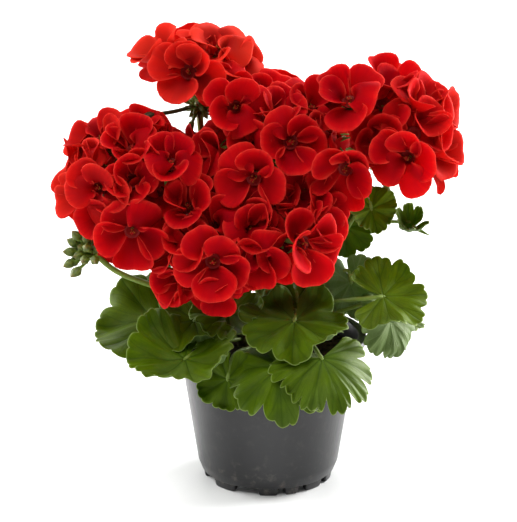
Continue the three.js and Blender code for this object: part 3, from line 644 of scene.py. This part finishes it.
def stalk_paint():
    p = Paint("green_stalk")
    speck = p.noise(500, 4.0)
    bark = p.mix(p.range(p.noise(240, 4.0), 0.4, 0.62), (0.075, 0.052, 0.022), (0.16, 0.12, 0.055))
    colour = p.layers(
        (0.080, 0.140, 0.012),
        (p.range(speck, 0.35, 0.65), 1, (0.140, 0.215, 0.028)),
        (p.value("tint"), 0.6, (0.21, 0.30, 0.040)),
        (p.value("wood"), 1, bark),
        (p.value("red"), 1, (0.16, 0.018, 0.010)),
        (p.value("brown"), 1, (0.018, 0.010, 0.006)))
    return p.finish(Base_Color=colour, Roughness=0.55, Specular_IOR_Level=0.3,
                    Normal=p.relief((speck, 0.10, 0.7), (p.noise(3200, 2.0), 0.05, 0.6)),
                    sheen=(0.04, 0.35, (0.85, 0.95, 0.60)))


def pot_paint():
    p = Paint("pot_plastic")
    place = p.node("ShaderNodeTexCoord").outputs["Object"]
    low = p.range(p.node("ShaderNodeSeparateXYZ", {0: place}).outputs["Z"], 0.030, 0.004)
    drawn_out = p.node("ShaderNodeMapping", {"Vector": place, "Scale": (900, 900, 60)}).outputs[0]
    scratch = p.noise(1.0, 5.0, 0.62, drawn_out)
    dust = p.times(p.range(p.noise(160, 5.0, 0.65), 0.5, 0.75), p.math("MULTIPLY_ADD", low, 0.30, 0.06))
    colour = p.layers(
        (0.005, 0.005, 0.006),
        (p.range(p.noise(35, 3.0), 0.3, 0.7), 1, (0.010, 0.010, 0.011)),
        (dust, 1, (0.20, 0.17, 0.14)))
    rough = p.math("ADD", p.range(scratch, 0.35, 0.7, 0.30, 0.40), p.times(dust, 0.5))
    relief = p.relief((scratch, 0.05, 0.35), (p.noise(1800, 2.0), 0.02, 0.4))
    return p.finish(Base_Color=colour, Roughness=rough, Normal=relief, Specular_IOR_Level=0.46)


def peat_paint():
    p = Paint("peat")
    fine = p.noise(1400, 4.0)
    colour = p.layers(
        (0.012, 0.007, 0.004),
        (p.range(p.noise(220, 4.0), 0.35, 0.65), 1, (0.050, 0.030, 0.017)),
        (p.range(fine, 0.62, 0.74), 1, (0.13, 0.09, 0.055)))
    return p.finish(Base_Color=colour, Roughness=0.95, Normal=p.relief((fine, 0.4, 0.9)),
                    Specular_IOR_Level=0.2)


def bud_paint():
    p = Paint("green_bud")
    speck = p.noise(700, 4.0)
    colour = p.layers(
        (0.044, 0.072, 0.001),
        (p.range(speck, 0.35, 0.65), 1, (0.120, 0.155, 0.005)),
        (p.value("seam"), 0.5, (0.045, 0.065, 0.010)),
        (p.range(p.value("tip"), 0.75, 1.0), 0.45, (0.20, 0.10, 0.02)),
        (p.value("brown"), 1, (0.022, 0.016, 0.006)),
        (p.value("red"), 1, (0.42, 0.008, 0.008)))
    return p.finish(Base_Color=colour, Roughness=0.55,
                    Normal=p.relief((speck, 0.12, 0.7), (p.noise(3000, 2.0), 0.08, 0.8)),
                    sheen=(0.03, 0.3, (0.9, 1.0, 0.6)))


# Petals

def petal_grid(kind, index, number, opening, size, fine):
    """Points of one petal in its floret's own axes, and its reach and side values. `fine` is the count
    of points along and across it."""
    def pick(least, most, start):
        return between(least, most, number, index + start)

    turn = math.radians(kind[0] + pick(-10, 10, 0))
    length = PETAL_LENGTH * kind[1] * size * pick(0.95, 1.06, 10)
    bowl = -2.5 if draw(number, index + 35) > 0.82 else pick(2.2, 6.6, 30)
    order = sorted(range(5), key=lambda k: draw(number, k + 120))
    reach = 1 - (1 - np.linspace(0, 1, fine[0])[:, None]) ** 1.3
    side = np.sin(math.pi / 2 * np.linspace(-1, 1, fine[1]))[None, :]
    angle = np.radians(side * (36 + 10 * smooth(reach / 0.5)) * kind[2])
    notch = pick(0, 0.06, 80) * np.exp(-(side / 0.16) ** 2)
    rim = 0.44 + 0.56 * np.sqrt(np.clip(1 - np.abs(side) ** 2.3, 0, 1)) - notch
    radius = length * (0.12 + 0.88 * reach * rim)
    along, across = radius * np.cos(angle), radius * np.sin(angle)
    wide = across / (0.42 * length)
    past_claw = smooth(reach / 0.35)
    throat = 8 * (1 - (1 - reach) ** 3)
    droop = pick(3, 6, 40) * reach ** 2
    layer = 0.4 * order.index(index) * past_claw
    lean = across * math.tan(math.radians(pick(5, 15, 50))) * past_claw
    cupped = 0.75 * wide ** 2 * smooth(reach / 0.5) + 1.1 * smooth((reach - 0.35) / 0.65) ** 1.5 - 0.5
    twist = pick(-2.2, 2.2, 90) * side * reach ** 3
    ruffle = 0.5 * reach ** 4 * np.sin(5.0 * side + pick(0, 2 * math.pi, 70))
    midrib = 0.12 * smooth(reach / 0.4) * np.exp(-(across / 1.2) ** 2)
    height = throat - droop + layer + lean + bowl * cupped + twist + ruffle - midrib
    pitch = math.radians(opening + pick(-17, 21, 20)) * smooth(reach / 0.3)
    out = along * np.cos(pitch) - height * np.sin(pitch)
    rise = along * np.sin(pitch) + height * np.cos(pitch)
    grid = np.stack([out * math.cos(turn) - across * math.sin(turn),
                     out * math.sin(turn) + across * math.cos(turn), rise], axis=2)
    return grid, reach + 0 * side, side + 0 * reach


def painted_backlight_share(x, y, z):
    """Share of painted backlight laid into the petal colour of a floret: most in the top left head and far
    out.
    """
    top = smooth((z - 238) / 16) * smooth((20 - x) / 30)
    front, back = smooth((y + 5) / 18), smooth((y - 25) / 25)
    return 0.34 * top * (0.4 + 0.6 * front) * (1 - 0.7 * back) + 0.20 * smooth((abs(x + 5) - 84) / 20)


def add_floret(petals, hearts, floret, number, inner=False):
    """Five petals and the throat of a floret, with stamens unless it is an inner one."""
    x, y, z, bearing, lift, roll, opening, size, *own = floret
    number = own[0] if own else number
    where = facing([x, y, z], bearing, lift, roll)
    # Share of painted backlight in this floret's petal colour
    glow = painted_backlight_share(x, y, z)
    fine = INNER_GRID if inner else PETAL_GRID
    for index, kind in enumerate(PETALS):
        grid, reach, side = petal_grid(kind, index, number, opening, size, fine)
        thick = PETAL_THICK * (1 - 0.45 * reach)
        tint = draw(number, index + 100)
        blade(petals, placed(grid, where), thick, reach=reach, side=side, tint=tint, glow=glow)
    points, faces = lathe(THROAT, 12)
    hearts.add(placed(points, where), faces[:, ::-1], kind=0.12)
    if not inner:
        add_stamens(hearts, where, number)


def add_stamens(hearts, where, number):
    """Stamens and the style with its arms, in the throat of a floret."""
    for k in range(STAMENS):
        around = 2 * math.pi * (k + draw(number, k)) / STAMENS
        tall = between(3.6, 5.6, number, k + 8)
        lean = between(0.5, 1.6, number, k + 16)
        base = [0.5 * math.cos(around), 0.5 * math.sin(around), -0.6]
        top = [lean * math.cos(around), lean * math.sin(around), tall]
        line = placed([base, [0.75 * top[0], 0.75 * top[1], 0.5 * tall], top], where)
        tube(hearts, curve(line, 5), np.linspace(0.28, 0.2, 5), 5, kind=0.45)
        along = where[1][2] + 0.8 * where[1][k % 2]
        lump(hearts, line[-1] - 0.5 * where[1][2], along, 1.3, 0.7, 6, 5, kind=1.0)
    tip = placed([[0, 0, 5.0]], where)[0]
    tube(hearts, curve([placed([[0, 0, -0.6]], where)[0], tip], 4), 0.3, 6, kind=0.35)
    for k in range(STYLE_ARMS):
        around = 2 * math.pi * k / STYLE_ARMS + number
        ends = placed([[0, 0, STYLE_TOP], [0.6 * math.cos(around), 0.6 * math.sin(around), STYLE_TOP + 0.8],
                       [1.2 * math.cos(around), 1.2 * math.sin(around), STYLE_TOP + 0.7]], where)
        tube(hearts, curve(ends, 5), np.linspace(0.26, 0.14, 5), 5, kind=0.5)


def spear_leaf(shell, base, way, up, length, width, bend, **values):
    """Small pointed green blade, such as a sepal or bract."""
    way, up = unit(way), unit(up)
    side = unit(np.cross(up, way))
    up = np.cross(way, side)
    v = np.linspace(0, 1, 8)[:, None]
    u = np.linspace(-1, 1, 5)[None, :]
    half = width / 2 * np.sin(math.pi * (0.18 + 0.82 * v)) ** 0.8 * (1 - v ** 6) + 0.04
    along = v * length * np.cos(bend * v)
    height = v * length * np.sin(bend * v) + 0.22 * width * u ** 2
    grid = (np.asarray(base, float) + (along + 0 * u)[..., None] * way + (u * half)[..., None] * side
            + height[..., None] * up)
    blade(shell, grid, 0.35, **values)


def add_calyx(stalks, hub, floret, number):
    """Pedicel of a floret, its green cup, and the five sepals behind the petals."""
    x, y, z, bearing, lift, roll = floret[:6]
    where = facing([x, y, z], bearing, lift, roll)
    back, neck, cup, top = placed([[0, 0, -depth] for depth in (20, 8.25, 2.2, 1.25)], where)
    line = curve([hub, back + 0.35 * (np.asarray(hub, float) - back), neck, top], 16)
    swell = (CUP_RADIUS - PEDICEL_RADIUS) * smooth((np.linspace(0, 1, 16) - 0.72) / 0.28)
    tube(stalks, line, PEDICEL_RADIUS + swell, 8, tint=between(0.3, 0.6, number, 5),
         red=0.25 * draw(number, 6))
    for k in range(SEPALS):
        out = spoke(where[1][0], where[1][1], k + 0.5, SEPALS)
        base = cup + 1.6 * out
        way = out - between(0.15, 0.75, number, k + 7) * where[1][2]
        spear_leaf(stalks, base, way, where[1][2], between(8, 10, number, k), 2.8, -0.3, tint=0.35)


def spoke(side, other, k, count):
    """The k-th of `count` directions spread evenly round, in the plane of two others."""
    angle = 2 * math.pi * k / count
    return math.cos(angle) * side + math.sin(angle) * other


def spread_ways(count):
    """Directions spread evenly over the whole sphere."""
    k = np.arange(count)
    z = 1 - 2 * (k + 0.5) / count
    turn = k * math.pi * (3 - math.sqrt(5))
    r = np.sqrt(1 - z * z)
    return np.stack([r * np.cos(turn), r * np.sin(turn), z], axis=1)


def inner_florets(stalk, florets, apart):
    """Florets that fill a head between the listed ones, nearer its hub, so that it is dense all round."""
    hub = np.array(stalk[-1], float)
    out = np.array([f[:3] for f in florets], float) - hub
    far = np.linalg.norm(out, axis=1)
    ways = out / far[:, None]
    middle = unit(ways.sum(0))
    widest = (ways @ middle).min()
    down = unit(np.array(stalk[-2], float) - hub)
    tried = spread_ways(TRIED_WAYS)
    allowed = (tried @ middle > widest) & (tried @ down < 0.6)
    found = []
    stands = hub + INNER_SHARE * far.mean() * tried
    for *place, radius in OPENINGS:
        allowed &= np.linalg.norm(stands - place, axis=1) > radius
    while True:
        nearest = (tried @ np.vstack([ways, *found]).T).max(1)
        best = int(np.argmin(np.where(allowed, nearest, 1)))
        if nearest[best] > math.cos(math.radians(apart)):
            break
        found.append(tried[best])
    return [inner_floret(hub, way, far[np.argsort(-(ways @ way))[:2]].mean()) for way in found]


def inner_floret(hub, way, reach):
    at = hub + INNER_SHARE * reach * way
    bearing = math.degrees(math.atan2(way[0], -way[1]))
    return [*at, bearing, math.degrees(math.asin(way[2])), 0, 24, 0.95]


def make_heads():
    petals_material, heart_material = petal_paint(), heart_paint()
    for name, (_, stalk, florets) in HEADS.items():
        petals = Shell("reach", "side", "tint", "glow", "under")
        hearts = Shell("kind")
        for index, floret in enumerate(florets):
            add_floret(petals, hearts, floret, FIRST[name] + index)
        for index, floret in enumerate(INNER[name]):
            add_floret(petals, hearts, floret, INNER_FIRST + 10 * FIRST[name] + index, inner=True)
        nodes = [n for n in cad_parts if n.startswith(f"petals_{name}_head")]
        petals.piece(f"florets_{name}", petals_material, "petals", nodes)
        hearts.piece(f"flower_hearts_{name}", heart_material, "petals", ())


# Leaves

def leaf_edge(step, deep):
    lobe = step - np.floor(step)
    notch = deep * np.abs(2 * lobe - 1) ** 3.5
    scallop = 0.050 * (1 - np.abs(np.sin(3 * math.pi * lobe)) ** 0.6)
    return 1 - notch - scallop - 0.10 * np.abs(2 * step / LOBES - 1) ** 4


def add_leaf(leaves, where, radius, cup, fold, wave, number, tint, half_span=LEAF_HALF_SPAN):
    """One leaf of seven scalloped lobes, pleated along its veins, with wavy and rolled edges."""
    step = np.linspace(0, LOBES, LOBES * PER_LOBE + 1)[:, None]
    v = np.linspace(0, 1, LEAF_RINGS)[None, :]
    reach = 0.03 + 0.97 * (1 - (1 - v) ** 1.2)
    inner = np.clip(step, 0, LOBES - 1e-6)
    which = np.floor(inner).astype(int)
    lobe = inner - which
    bulge = np.sin(math.pi * lobe)
    angle = math.radians(half_span) * (2 * step / LOBES - 1)
    edge = leaf_edge(inner, between(0.11, 0.19, number, 31) + 0.0008 * (LEAF_HALF_SPAN - half_span))
    rolled = np.array([smooth((draw(number, k + 13) - 0.62) / 0.2) for k in range(LOBES)])[which]
    tilt = np.array([between(-1, 1, number, k + 3) for k in range(LOBES)])[which]
    curl = rolled * smooth((reach - 0.66) / 0.34) ** 2 * bulge
    spread = radius * reach * edge * (1 - 0.13 * curl)
    across, along = spread * np.sin(angle), spread * np.cos(angle)
    x, y = across / radius, along / radius
    grown = np.clip((reach - 0.4) / 0.6, 0, 1)
    vein = np.abs(lobe - 0.5) * LOBE_SPAN * reach * radius
    branch = np.abs(np.abs(lobe - 0.5) - 0.33 * grown ** 0.8) * LOBE_SPAN * reach * radius
    # A leaf with a wide gap at its stalk lies calmer
    calm = (half_span / LEAF_HALF_SPAN) ** 4
    pleats = 0.036 * reach ** 1.3 * np.cos(2 * math.pi * step) + 0.012 * grown * np.cos(6 * math.pi * step)
    waves = 0.07 * reach ** 3 * np.sin(3 * angle + wave)
    edge_waves = 0.055 * reach ** 5 * np.sin(7 * angle + 2 * wave)
    tilted = 0.15 * math.sqrt(calm) * reach ** 2 * tilt * bulge
    uneven = reach * (0.040 * np.sin(4.1 * x + 3 * wave) * np.cos(3.3 * y + wave)
                      + 0.022 * np.sin(7.5 * (x + y) + 5 * wave))
    ruffle = (0.020 * reach ** 4 * np.sin(6 * math.pi * lobe + wave)
              + 0.012 * reach ** 3 * np.sin(2.7 * math.pi * step + 2 * wave))
    grooves = (0.22 * np.exp(-(branch / 1.5) ** 2) * smooth(grown * 3)
               + 0.30 * np.exp(-(vein / 1.5) ** 2) * smooth(reach * 3))
    lift = (radius * (calm * (pleats + edge_waves) + waves + tilted + 0.21 * curl + uneven + ruffle)
            + cup * spread ** 2 / radius + fold * np.abs(across) - grooves)
    points = placed(np.stack([across, along, lift], axis=2), where)
    flat = 0 * lift
    blade(leaves, clear_of_pot(points), LEAF_THICK * (1.25 - 0.5 * reach) + flat, step=step + flat,
          reach=reach + flat, radius=radius * edge + flat, tint=tint + flat)


def clear_of_pot(points):
    """Points in or just under the pot's wall and lip moved out to stand off it."""
    radius = np.hypot(points[..., 0], points[..., 1])
    height = points[..., 2]
    skin = np.interp(height, [0, WALL_FOOT_Z, WALL_TOP_Z - 2, WALL_TOP_Z, POT_HEIGHT],
                     [SKIRT_RADIUS, WALL_FOOT_RADIUS, WALL_TOP_RADIUS, RIM_RADIUS, RIM_RADIUS]) + POT_GAP
    short = skin - radius
    near = (height < POT_HEIGHT + POT_GAP) & (short > 0) & (short < 14)
    share = np.where(near, skin / np.maximum(radius, 1), 1.0)
    out = points.copy()
    out[..., 0] *= share
    out[..., 1] *= share
    return out


def stem_at(name, height):
    line = curve(STEMS[name], 200)
    return line[int(np.argmin(np.abs(line[:, 2] - height)))]


def stalk_line(root, where, radius):
    heart = placed([[0, -0.4, -0.3]], where)[0]
    entry = placed([[0, -0.42 * radius, -0.05 * radius]], where)[0]
    if heart[2] < POT_HEIGHT + 12 and math.hypot(heart[0], heart[1]) > RIM_RADIUS:
        inwards = 0.97 * RIM_RADIUS / math.hypot(entry[0], entry[1])
        return [root, [entry[0] * inwards, entry[1] * inwards, max(POT_HEIGHT + 4, entry[2])], heart]
    half = (np.asarray(root) + entry) / 2
    return [root, half + [0, 0, 2], entry, heart]


def add_leaves(name, leaves, stalks):
    for index, (height, heart, bearing, lift, turn, radius, cup, fold, *span) in enumerate(LEAVES[name]):
        root = stem_at(name, height)
        where = facing(heart, bearing, lift, turn)
        wave = 2 * math.pi * draw(index, radius)
        number = 200 + 20 * list(LEAVES).index(name) + index
        # Leaves of the front stem keep only a quarter of their random tint, so they are painted darker:
        # painted shade from the heads above them.
        tint = (0.25 if name == "front" else 1) * draw(number, 1)
        add_leaf(leaves, where, radius, cup, fold, wave, number, tint, *span)
        line = curve(stalk_line(root, where, radius), 22)
        swell = 1 + 0.6 * np.exp(-np.linspace(0, 9, 22)) + 0.25 * np.exp(-np.linspace(9, 0, 22))
        tube(stalks, line, LEAF_STALK_RADIUS * swell, 10, tint=between(0.35, 0.85, number, 2),
             red=0.12 * draw(number, 3))
        joint = placed([[0, -0.9, -0.7]], where)[0]
        lump(stalks, joint, where[1][1] + 0.4 * where[1][2], 2.4, 2.3, 10, 7, tint=0.6)
        for hand in (-1, 1):
            sideways = unit(np.cross(line[2] - root, [0, 0, 1])) * hand
            spear_leaf(stalks, root + 3.2 * sideways, sideways + [0, 0, 0.9], line[2] - root, 7, 4.5, 0.3,
                       tint=0.45)
    if name == "right":
        at, bearing, lift, turn, radius, cup, fold = CURLED_LEAF
        where = facing(at, bearing, lift, turn)
        add_leaf(leaves, where, radius, cup, fold, 1, 290, 0.8)
        tube(stalks, curve(CURLED_STALK, 16), np.linspace(1.3, 0.9, 16), 10, tint=0.8)
        base, way, length = CURLED_TIP
        spear_leaf(stalks, base, way, [0, -0.4, 1], length, 3, 0.2, tint=1)


# Stems, stalks and buds

def add_head_stalk(stalks, stalk, florets, inner, first):
    count = 14 * len(stalk)
    t = np.linspace(0, 1, count)
    radius = HEAD_STALK_RADIUS + 0.35 * np.exp(-12 * t) + 0.25 * np.exp(-14 * (1 - t))
    tube(stalks, curve(stalk, count), radius, 14, tint=0.30 + 0.3 * t, red=0.10 * t)
    hub = np.array(stalk[-1], float)
    way = unit(hub - np.array(stalk[-2], float))
    lump(stalks, hub - 3 * way, way, 6.4, 6.2, 14, 10, tint=0.5)
    side = unit(np.cross(way, [0, 1, 0.3]))
    other = np.cross(way, side)
    for k in range(BRACTS):
        out = spoke(side, other, k, BRACTS)
        spear_leaf(stalks, hub - 1.0 * way + 2.4 * out, out + between(-0.1, 0.7, first, k) * way, way,
                   between(6, 9, first, k + 9), 3.2, 0.35, tint=0.95, red=0.05)
    for index, floret in enumerate([*florets, *inner]):
        add_calyx(stalks, hub, floret, first + index)


def add_bud(stalks, buds, root, end, length, width, ripe=0, brown=0):
    """Green bud with five sepal seams on its own curved stalk."""
    root, end = np.asarray(root, float), np.asarray(end, float)
    way = unit(end - root)
    base = end - way * length
    drop = np.array([0, 0, -0.04 * np.linalg.norm(base - root)])
    radius = BUD_STALK_RADIUS + np.linspace(0, 0.15, 10) + 0.5 * brown
    tube(stalks, curve([root, (root + base) / 2 + drop, base], 10), radius, 8, tint=0.5, brown=brown)
    sides, rings = 20, 12
    share = np.linspace(0.0, 1.0, rings)
    egg = width / 2 * (np.sin(math.pi * np.clip(share, 0.02, 0.995) ** 0.85) ** 0.7) * (1 - 0.25 * share)
    side = unit(np.cross(way, [0.3, 0.2, 1]))
    other = np.cross(way, side)
    angle = 2 * math.pi * np.arange(sides) / sides
    seam = np.exp(-(np.abs((angle * 5 / (2 * math.pi)) % 1 - 0.5) / 0.14) ** 2)
    lobed = 1 + 0.07 * np.cos(5 * angle) - 0.06 * seam
    out = lobed[:, None] * (np.cos(angle)[:, None] * side + np.sin(angle)[:, None] * other)
    ring_points = base + share[:, None, None] * length * way + np.maximum(egg, 0.12)[:, None, None] * out
    points = np.concatenate([ring_points.reshape(-1, 3), [base], [end + way * 0.4]])
    tips = np.concatenate([np.repeat(share, sides), [0, 1]])
    seams = np.concatenate([np.tile(seam, rings), [0, 0]])
    buds.add(points, capped_faces(rings, sides), tip=tips, seam=seams,
             red=ripe * smooth((tips - 0.45) / 0.35), brown=brown)
    for k in range(SEPALS):
        out = spoke(side, other, k, SEPALS)
        spear_leaf(stalks, base + 1.1 * out, way + 0.5 * out, out, 0.34 * length, 1.3, -0.5, tint=0.55)


def add_bud_cluster(stalks, buds):
    count = 50
    t = np.linspace(0, 1, count)
    tube(stalks, curve(BUD_STALK, count), CLUSTER_STALK_RADIUS + 0.4 * np.exp(-10 * t), 12, tint=0.75)
    hub = np.array(BUD_STALK[-1], float)
    axis = unit(BUD_AXIS)
    lump(stalks, hub - 2.6 * axis, axis, 5.4, 5.6, 12, 9, tint=0.7)
    turn_axis = np.cross([0, 0, 1.0], axis)
    sine, cosine = np.linalg.norm(turn_axis), axis[2]
    k_axis = turn_axis / sine
    golden = math.pi * (3 - math.sqrt(5))
    for k in range(BUD_COUNT):
        polar = math.acos(1 - BUD_CAP * (k + 0.5) / BUD_COUNT)
        off = math.sin(polar)
        out = np.array([off * math.cos(k * golden), off * math.sin(k * golden), math.cos(polar)])
        out = out * cosine + np.cross(k_axis, out) * sine + k_axis * k_axis.dot(out) * (1 - cosine)
        reach = BUD_REACH * between(0.62, 1.0, k, 401)
        add_bud(stalks, buds, hub, hub + out * reach, BUD_LENGTH * between(0.8, 1, k, 402), BUD_WIDTH)
    side = unit(np.cross(axis, [0, 0, 1]))
    for k in range(CLUSTER_BRACTS):
        out = spoke(side, np.cross(axis, side), k + 0.3, CLUSTER_BRACTS)
        spear_leaf(stalks, hub - 1.5 * axis + 2.2 * out, out + 0.5 * axis, axis, 6, 3.2, 0.5, tint=0.9)


def add_hub_buds(stalks, buds, hub):
    """Small green buds standing close round a hub, on its sides and below it."""
    for k, way in enumerate(spread_ways(3 * HUB_BUDS)[HUB_BUDS:]):
        if way[1] < 0.5:
            add_bud(stalks, buds, hub, hub + way * between(9, 13, k, 451), between(4.5, 6.5, k, 452), 3)


def make_stems():
    leaf_material, stalk_material, bud_material = leaf_paint(), stalk_paint(), bud_paint()
    for name, line in STEMS.items():
        stalks = Shell("wood", "red", "tint", "brown", "under")
        leaves = Shell("step", "reach", "radius", "under", "tint")
        buds = Shell("tip", "red", "seam", "brown")
        path = curve(line, 60)
        t = np.linspace(0, 1, 60)
        knobbly = STEM_RADIUS + 0.7 * np.sin(t * 34) ** 8 - 0.7 * t
        tube(stalks, path, knobbly * (1 - 0.35 * smooth((t - 0.95) / 0.05)), 20,
             wood=1 - smooth((t - 0.5) / 0.4), tint=0.2)
        add_leaves(name, leaves, stalks)
        for head, (stem, stalk, florets) in HEADS.items():
            if stem == name:
                add_head_stalk(stalks, stalk, florets, INNER[head], FIRST[head])
        if name == "left":
            add_bud_cluster(stalks, buds)
        if name == "back":
            add_hub_buds(stalks, buds, np.array(HEADS["top_left"][1][-1], float))
        for stem, *lone in LONE_BUDS:
            if stem == name:
                add_bud(stalks, buds, *lone)
        nodes = [f"leafy_stem_{name}"]
        stalks.piece(f"stalks_{name}", stalk_material, "greenery", nodes)
        leaves.piece(f"leaves_{name}", leaf_material, "greenery", nodes)
        if buds.total:
            buds.piece(f"buds_{name}", bud_material, "greenery", nodes)


# Pot and peat

def rounded(corners, closed=False):
    """Outline through corners given as radius, height and rounding, with an arc at each rounded one."""
    out = []
    count = len(corners)
    for k, (r, z, size) in enumerate(corners):
        here = np.array([r, z], float)
        if size == 0 or (not closed and k in (0, count - 1)):
            out.append(here)
            continue
        before = unit(np.array(corners[k - 1][:2], float) - here) * size
        after = unit(np.array(corners[(k + 1) % count][:2], float) - here) * size
        for t in np.linspace(0, 1, 6):
            out.append((1 - t) ** 2 * (here + before) + 2 * t * (1 - t) * here + t * t * (here + after))
    return np.array(out)


def make_pot():
    sides = 144
    inner_foot = FLOOR_Z + WALL
    outline = rounded([
        (0.4, FLOOR_Z, 0), (SKIRT_RADIUS, FLOOR_Z, 0.6), (WALL_FOOT_RADIUS, WALL_FOOT_Z, 1.5),
        (WALL_TOP_RADIUS, WALL_TOP_Z, 0.8), (RIM_RADIUS - 0.4, WALL_TOP_Z, 0.6),
        (RIM_RADIUS, POT_HEIGHT, 1.2), (WALL_TOP_RADIUS, POT_HEIGHT, 0.8),
        (WALL_TOP_RADIUS - WALL, WALL_TOP_Z, 0.8), (WALL_FOOT_RADIUS - WALL, WALL_FOOT_Z, 1),
        (SKIRT_RADIUS - WALL, inner_foot, 0.8), (0.4, inner_foot, 0),
    ])
    points, faces = lathe(outline, sides)
    shell = Shell()
    shell.add(points, faces)
    for half in (0, 180):
        edges = FOOT_GAPS + [[FOOT_GAPS[0][0] + 180, 0]]
        for (_, start), (end, _) in zip(edges, edges[1:]):
            add_foot(shell, start + half, end + half)
    pot = shell.piece("pot_body", pot_paint(), "pot", ["pot"])
    for k in range(DRAIN_COUNT):
        angle = 2 * math.pi * (k + 0.5) / DRAIN_COUNT
        centre = AXIS / 1000 + np.array([math.cos(angle), math.sin(angle), 0]) * DRAIN_RING / 1000
        cut_hole(pot, (centre[0], centre[1], FLOOR_Z / 1000), DRAIN_RADIUS / 1000, 3 * FLOOR_Z / 1000)


def add_foot(shell, start, end):
    """One block of the foot ring between two bearings, with rounded ends, let into the pot's floor."""
    section = rounded([(FOOT_INNER, 0, 0.5), (FOOT_OUTER, 0, 0.9), (FOOT_OUTER + 0.9, FLOOR_Z + 0.8, 0.1),
                       (FOOT_INNER, FLOOR_Z + 0.8, 0.1)], closed=True)[::-1]
    middle = np.array([(FOOT_INNER + FOOT_OUTER) / 2, FLOOR_Z])
    count = 18
    t = np.linspace(0, 1, count)
    ease = 0.5 - 0.5 * np.cos(math.pi * t)
    bearing = np.radians(start + (end - start) * ease - 90)
    shrink = np.clip(np.sqrt(1 - np.abs(2 * ease - 1) ** 14), 0.02, 1)
    rings = []
    for b, s in zip(bearing, shrink):
        flat = middle + (section - middle) * [1, s]
        rings.append(np.stack([flat[:, 0] * math.cos(b), flat[:, 0] * math.sin(b), flat[:, 1]], axis=1))
    points = np.concatenate([*rings, [rings[0].mean(0)], [rings[-1].mean(0)]])
    shell.add(points, capped_faces(count, len(section)))


def cut_hole(piece, centre, radius, depth):
    """Round hole straight down through a piece."""
    bpy.ops.mesh.primitive_cylinder_add(vertices=32, radius=radius, depth=depth, location=centre)
    tool = bpy.context.object
    cut = piece.modifiers.new("hole", "BOOLEAN")
    cut.operation, cut.solver, cut.object = "DIFFERENCE", "EXACT", tool
    ready = piece.evaluated_get(bpy.context.evaluated_depsgraph_get())
    mesh = bpy.data.meshes.new_from_object(ready)
    piece.modifiers.clear()
    piece.data = mesh
    bpy.data.objects.remove(tool)


def peat_height(spread):
    """Height of the peat at a distance from its middle, crowned there and lower along the pot's wall."""
    return SOIL_TOP + PEAT_CROWN * (1 - spread / PEAT_RADIUS) - 1.6 * smooth((spread - 47) / 4.5)


def make_peat():
    shell = Shell()
    sides, rings = 120, 40
    r = np.linspace(0.3, PEAT_RADIUS, rings)[:, None]
    angle = 2 * math.pi * np.arange(sides) / sides
    x, y = r * np.cos(angle), r * np.sin(angle)
    waves = [(n, random.uniform(-0.25, 0.25) * n, random.uniform(-0.25, 0.25) * n, random.uniform(0, 6))
             for n in range(1, 14)]
    rough = sum(random.uniform(0.4, 1) * np.sin(x * fx + y * fy + ph) / n for n, fx, fy, ph in waves)
    height = peat_height(r) + 0.5 * rough + random.normal(0, 0.16, x.shape)
    points = np.concatenate([np.stack([x, y, height], axis=2).reshape(-1, 3), lathe(PEAT_SIDE, sides)[0]])
    shell.add(points, grid_faces(rings + len(PEAT_SIDE), sides, closed=True, looped=True))
    for _ in range(CRUMBS):
        spread = PEAT_RADIUS * math.sqrt(random.uniform(0, 0.98))
        way = random.uniform(0, 2 * math.pi)
        size = random.uniform(0.8, 2.6) ** 1.1
        at = np.array([spread * math.cos(way), spread * math.sin(way), peat_height(spread) - 0.2 * size])
        lean = random.normal(0, 1, 3)
        lump(shell, at - 0.5 * size * unit(lean), lean, size * random.uniform(1, 1.8), size, 7, 5)
    shell.piece("peat_fill", peat_paint(), "peat", ["soil"])


# Stage

def make_stage():
    bpy.ops.mesh.primitive_plane_add(size=14)
    floor = bpy.context.object
    floor.name = "studio_floor"
    p = Paint("studio_floor")
    shade = p.mix(p.noise(3, 2.0), (0.86, 0.86, 0.86), (0.90, 0.90, 0.90))
    floor.data.materials.append(p.finish(Base_Color=shade, Roughness=0.8))
    world = bpy.data.worlds.new("studio")
    bpy.context.scene.world = world
    world.use_nodes = True
    back = world.node_tree.nodes["Background"]
    back.inputs["Color"].default_value = (1, 1, 1, 1)
    back.inputs["Strength"].default_value = WORLD_STRENGTH
    sun = bpy.data.lights.new("soft_sun", "SUN")
    sun.energy, sun.angle = SUN_STRENGTH, math.radians(SUN_SPREAD)
    add_lamp("soft_sun", sun, SUN_PLACE)
    for name, place, size, power in SOFT_BOXES:
        light = bpy.data.lights.new(name, "AREA")
        light.shape = "RECTANGLE"
        light.energy, light.size, light.size_y = power, *size
        add_lamp(name, light, place)
    bpy.context.scene.view_settings.view_transform = "Standard"


def add_lamp(name, light, place):
    """Lamp at a place, aimed at the middle of the plant and never itself in the picture."""
    lamp = bpy.data.objects.new(name, light)
    lamp.location = place
    lamp.rotation_euler = (Vector((0, 0, 0.15)) - Vector(place)).to_track_quat("-Z", "Y").to_euler()
    lamp.visible_camera = False
    bpy.context.scene.collection.objects.link(lamp)


def make_camera():
    data = bpy.data.cameras.new("camera")
    data.sensor_fit = "HORIZONTAL"
    data.sensor_width = SENSOR
    data.lens = SENSOR * 1000 * DISTANCE / (IMAGE_WIDTH * MM_PER_PIXEL)
    camera = bpy.data.objects.new("camera", data)
    pitch = math.radians(PITCH)
    aim = (AXIS + [AIM_SIDE, 0, AIM_HEIGHT]) / 1000
    camera.location = aim + DISTANCE * np.array([0, -math.cos(pitch), math.sin(pitch)])
    camera.rotation_euler = (math.radians(90 - PITCH), 0, 0)
    bpy.context.scene.collection.objects.link(camera)
    bpy.context.scene.camera = camera


INNER = {}
for head_name, (_, head_stalk, head_florets) in HEADS.items():
    least = INNER_APART_TOP_LEFT if head_name == "top_left" else INNER_APART
    INNER[head_name] = inner_florets(head_stalk, head_florets, least) + FILLERS.get(head_name, [])

make_stage()
make_camera()
make_pot()
make_peat()
make_stems()
make_heads()
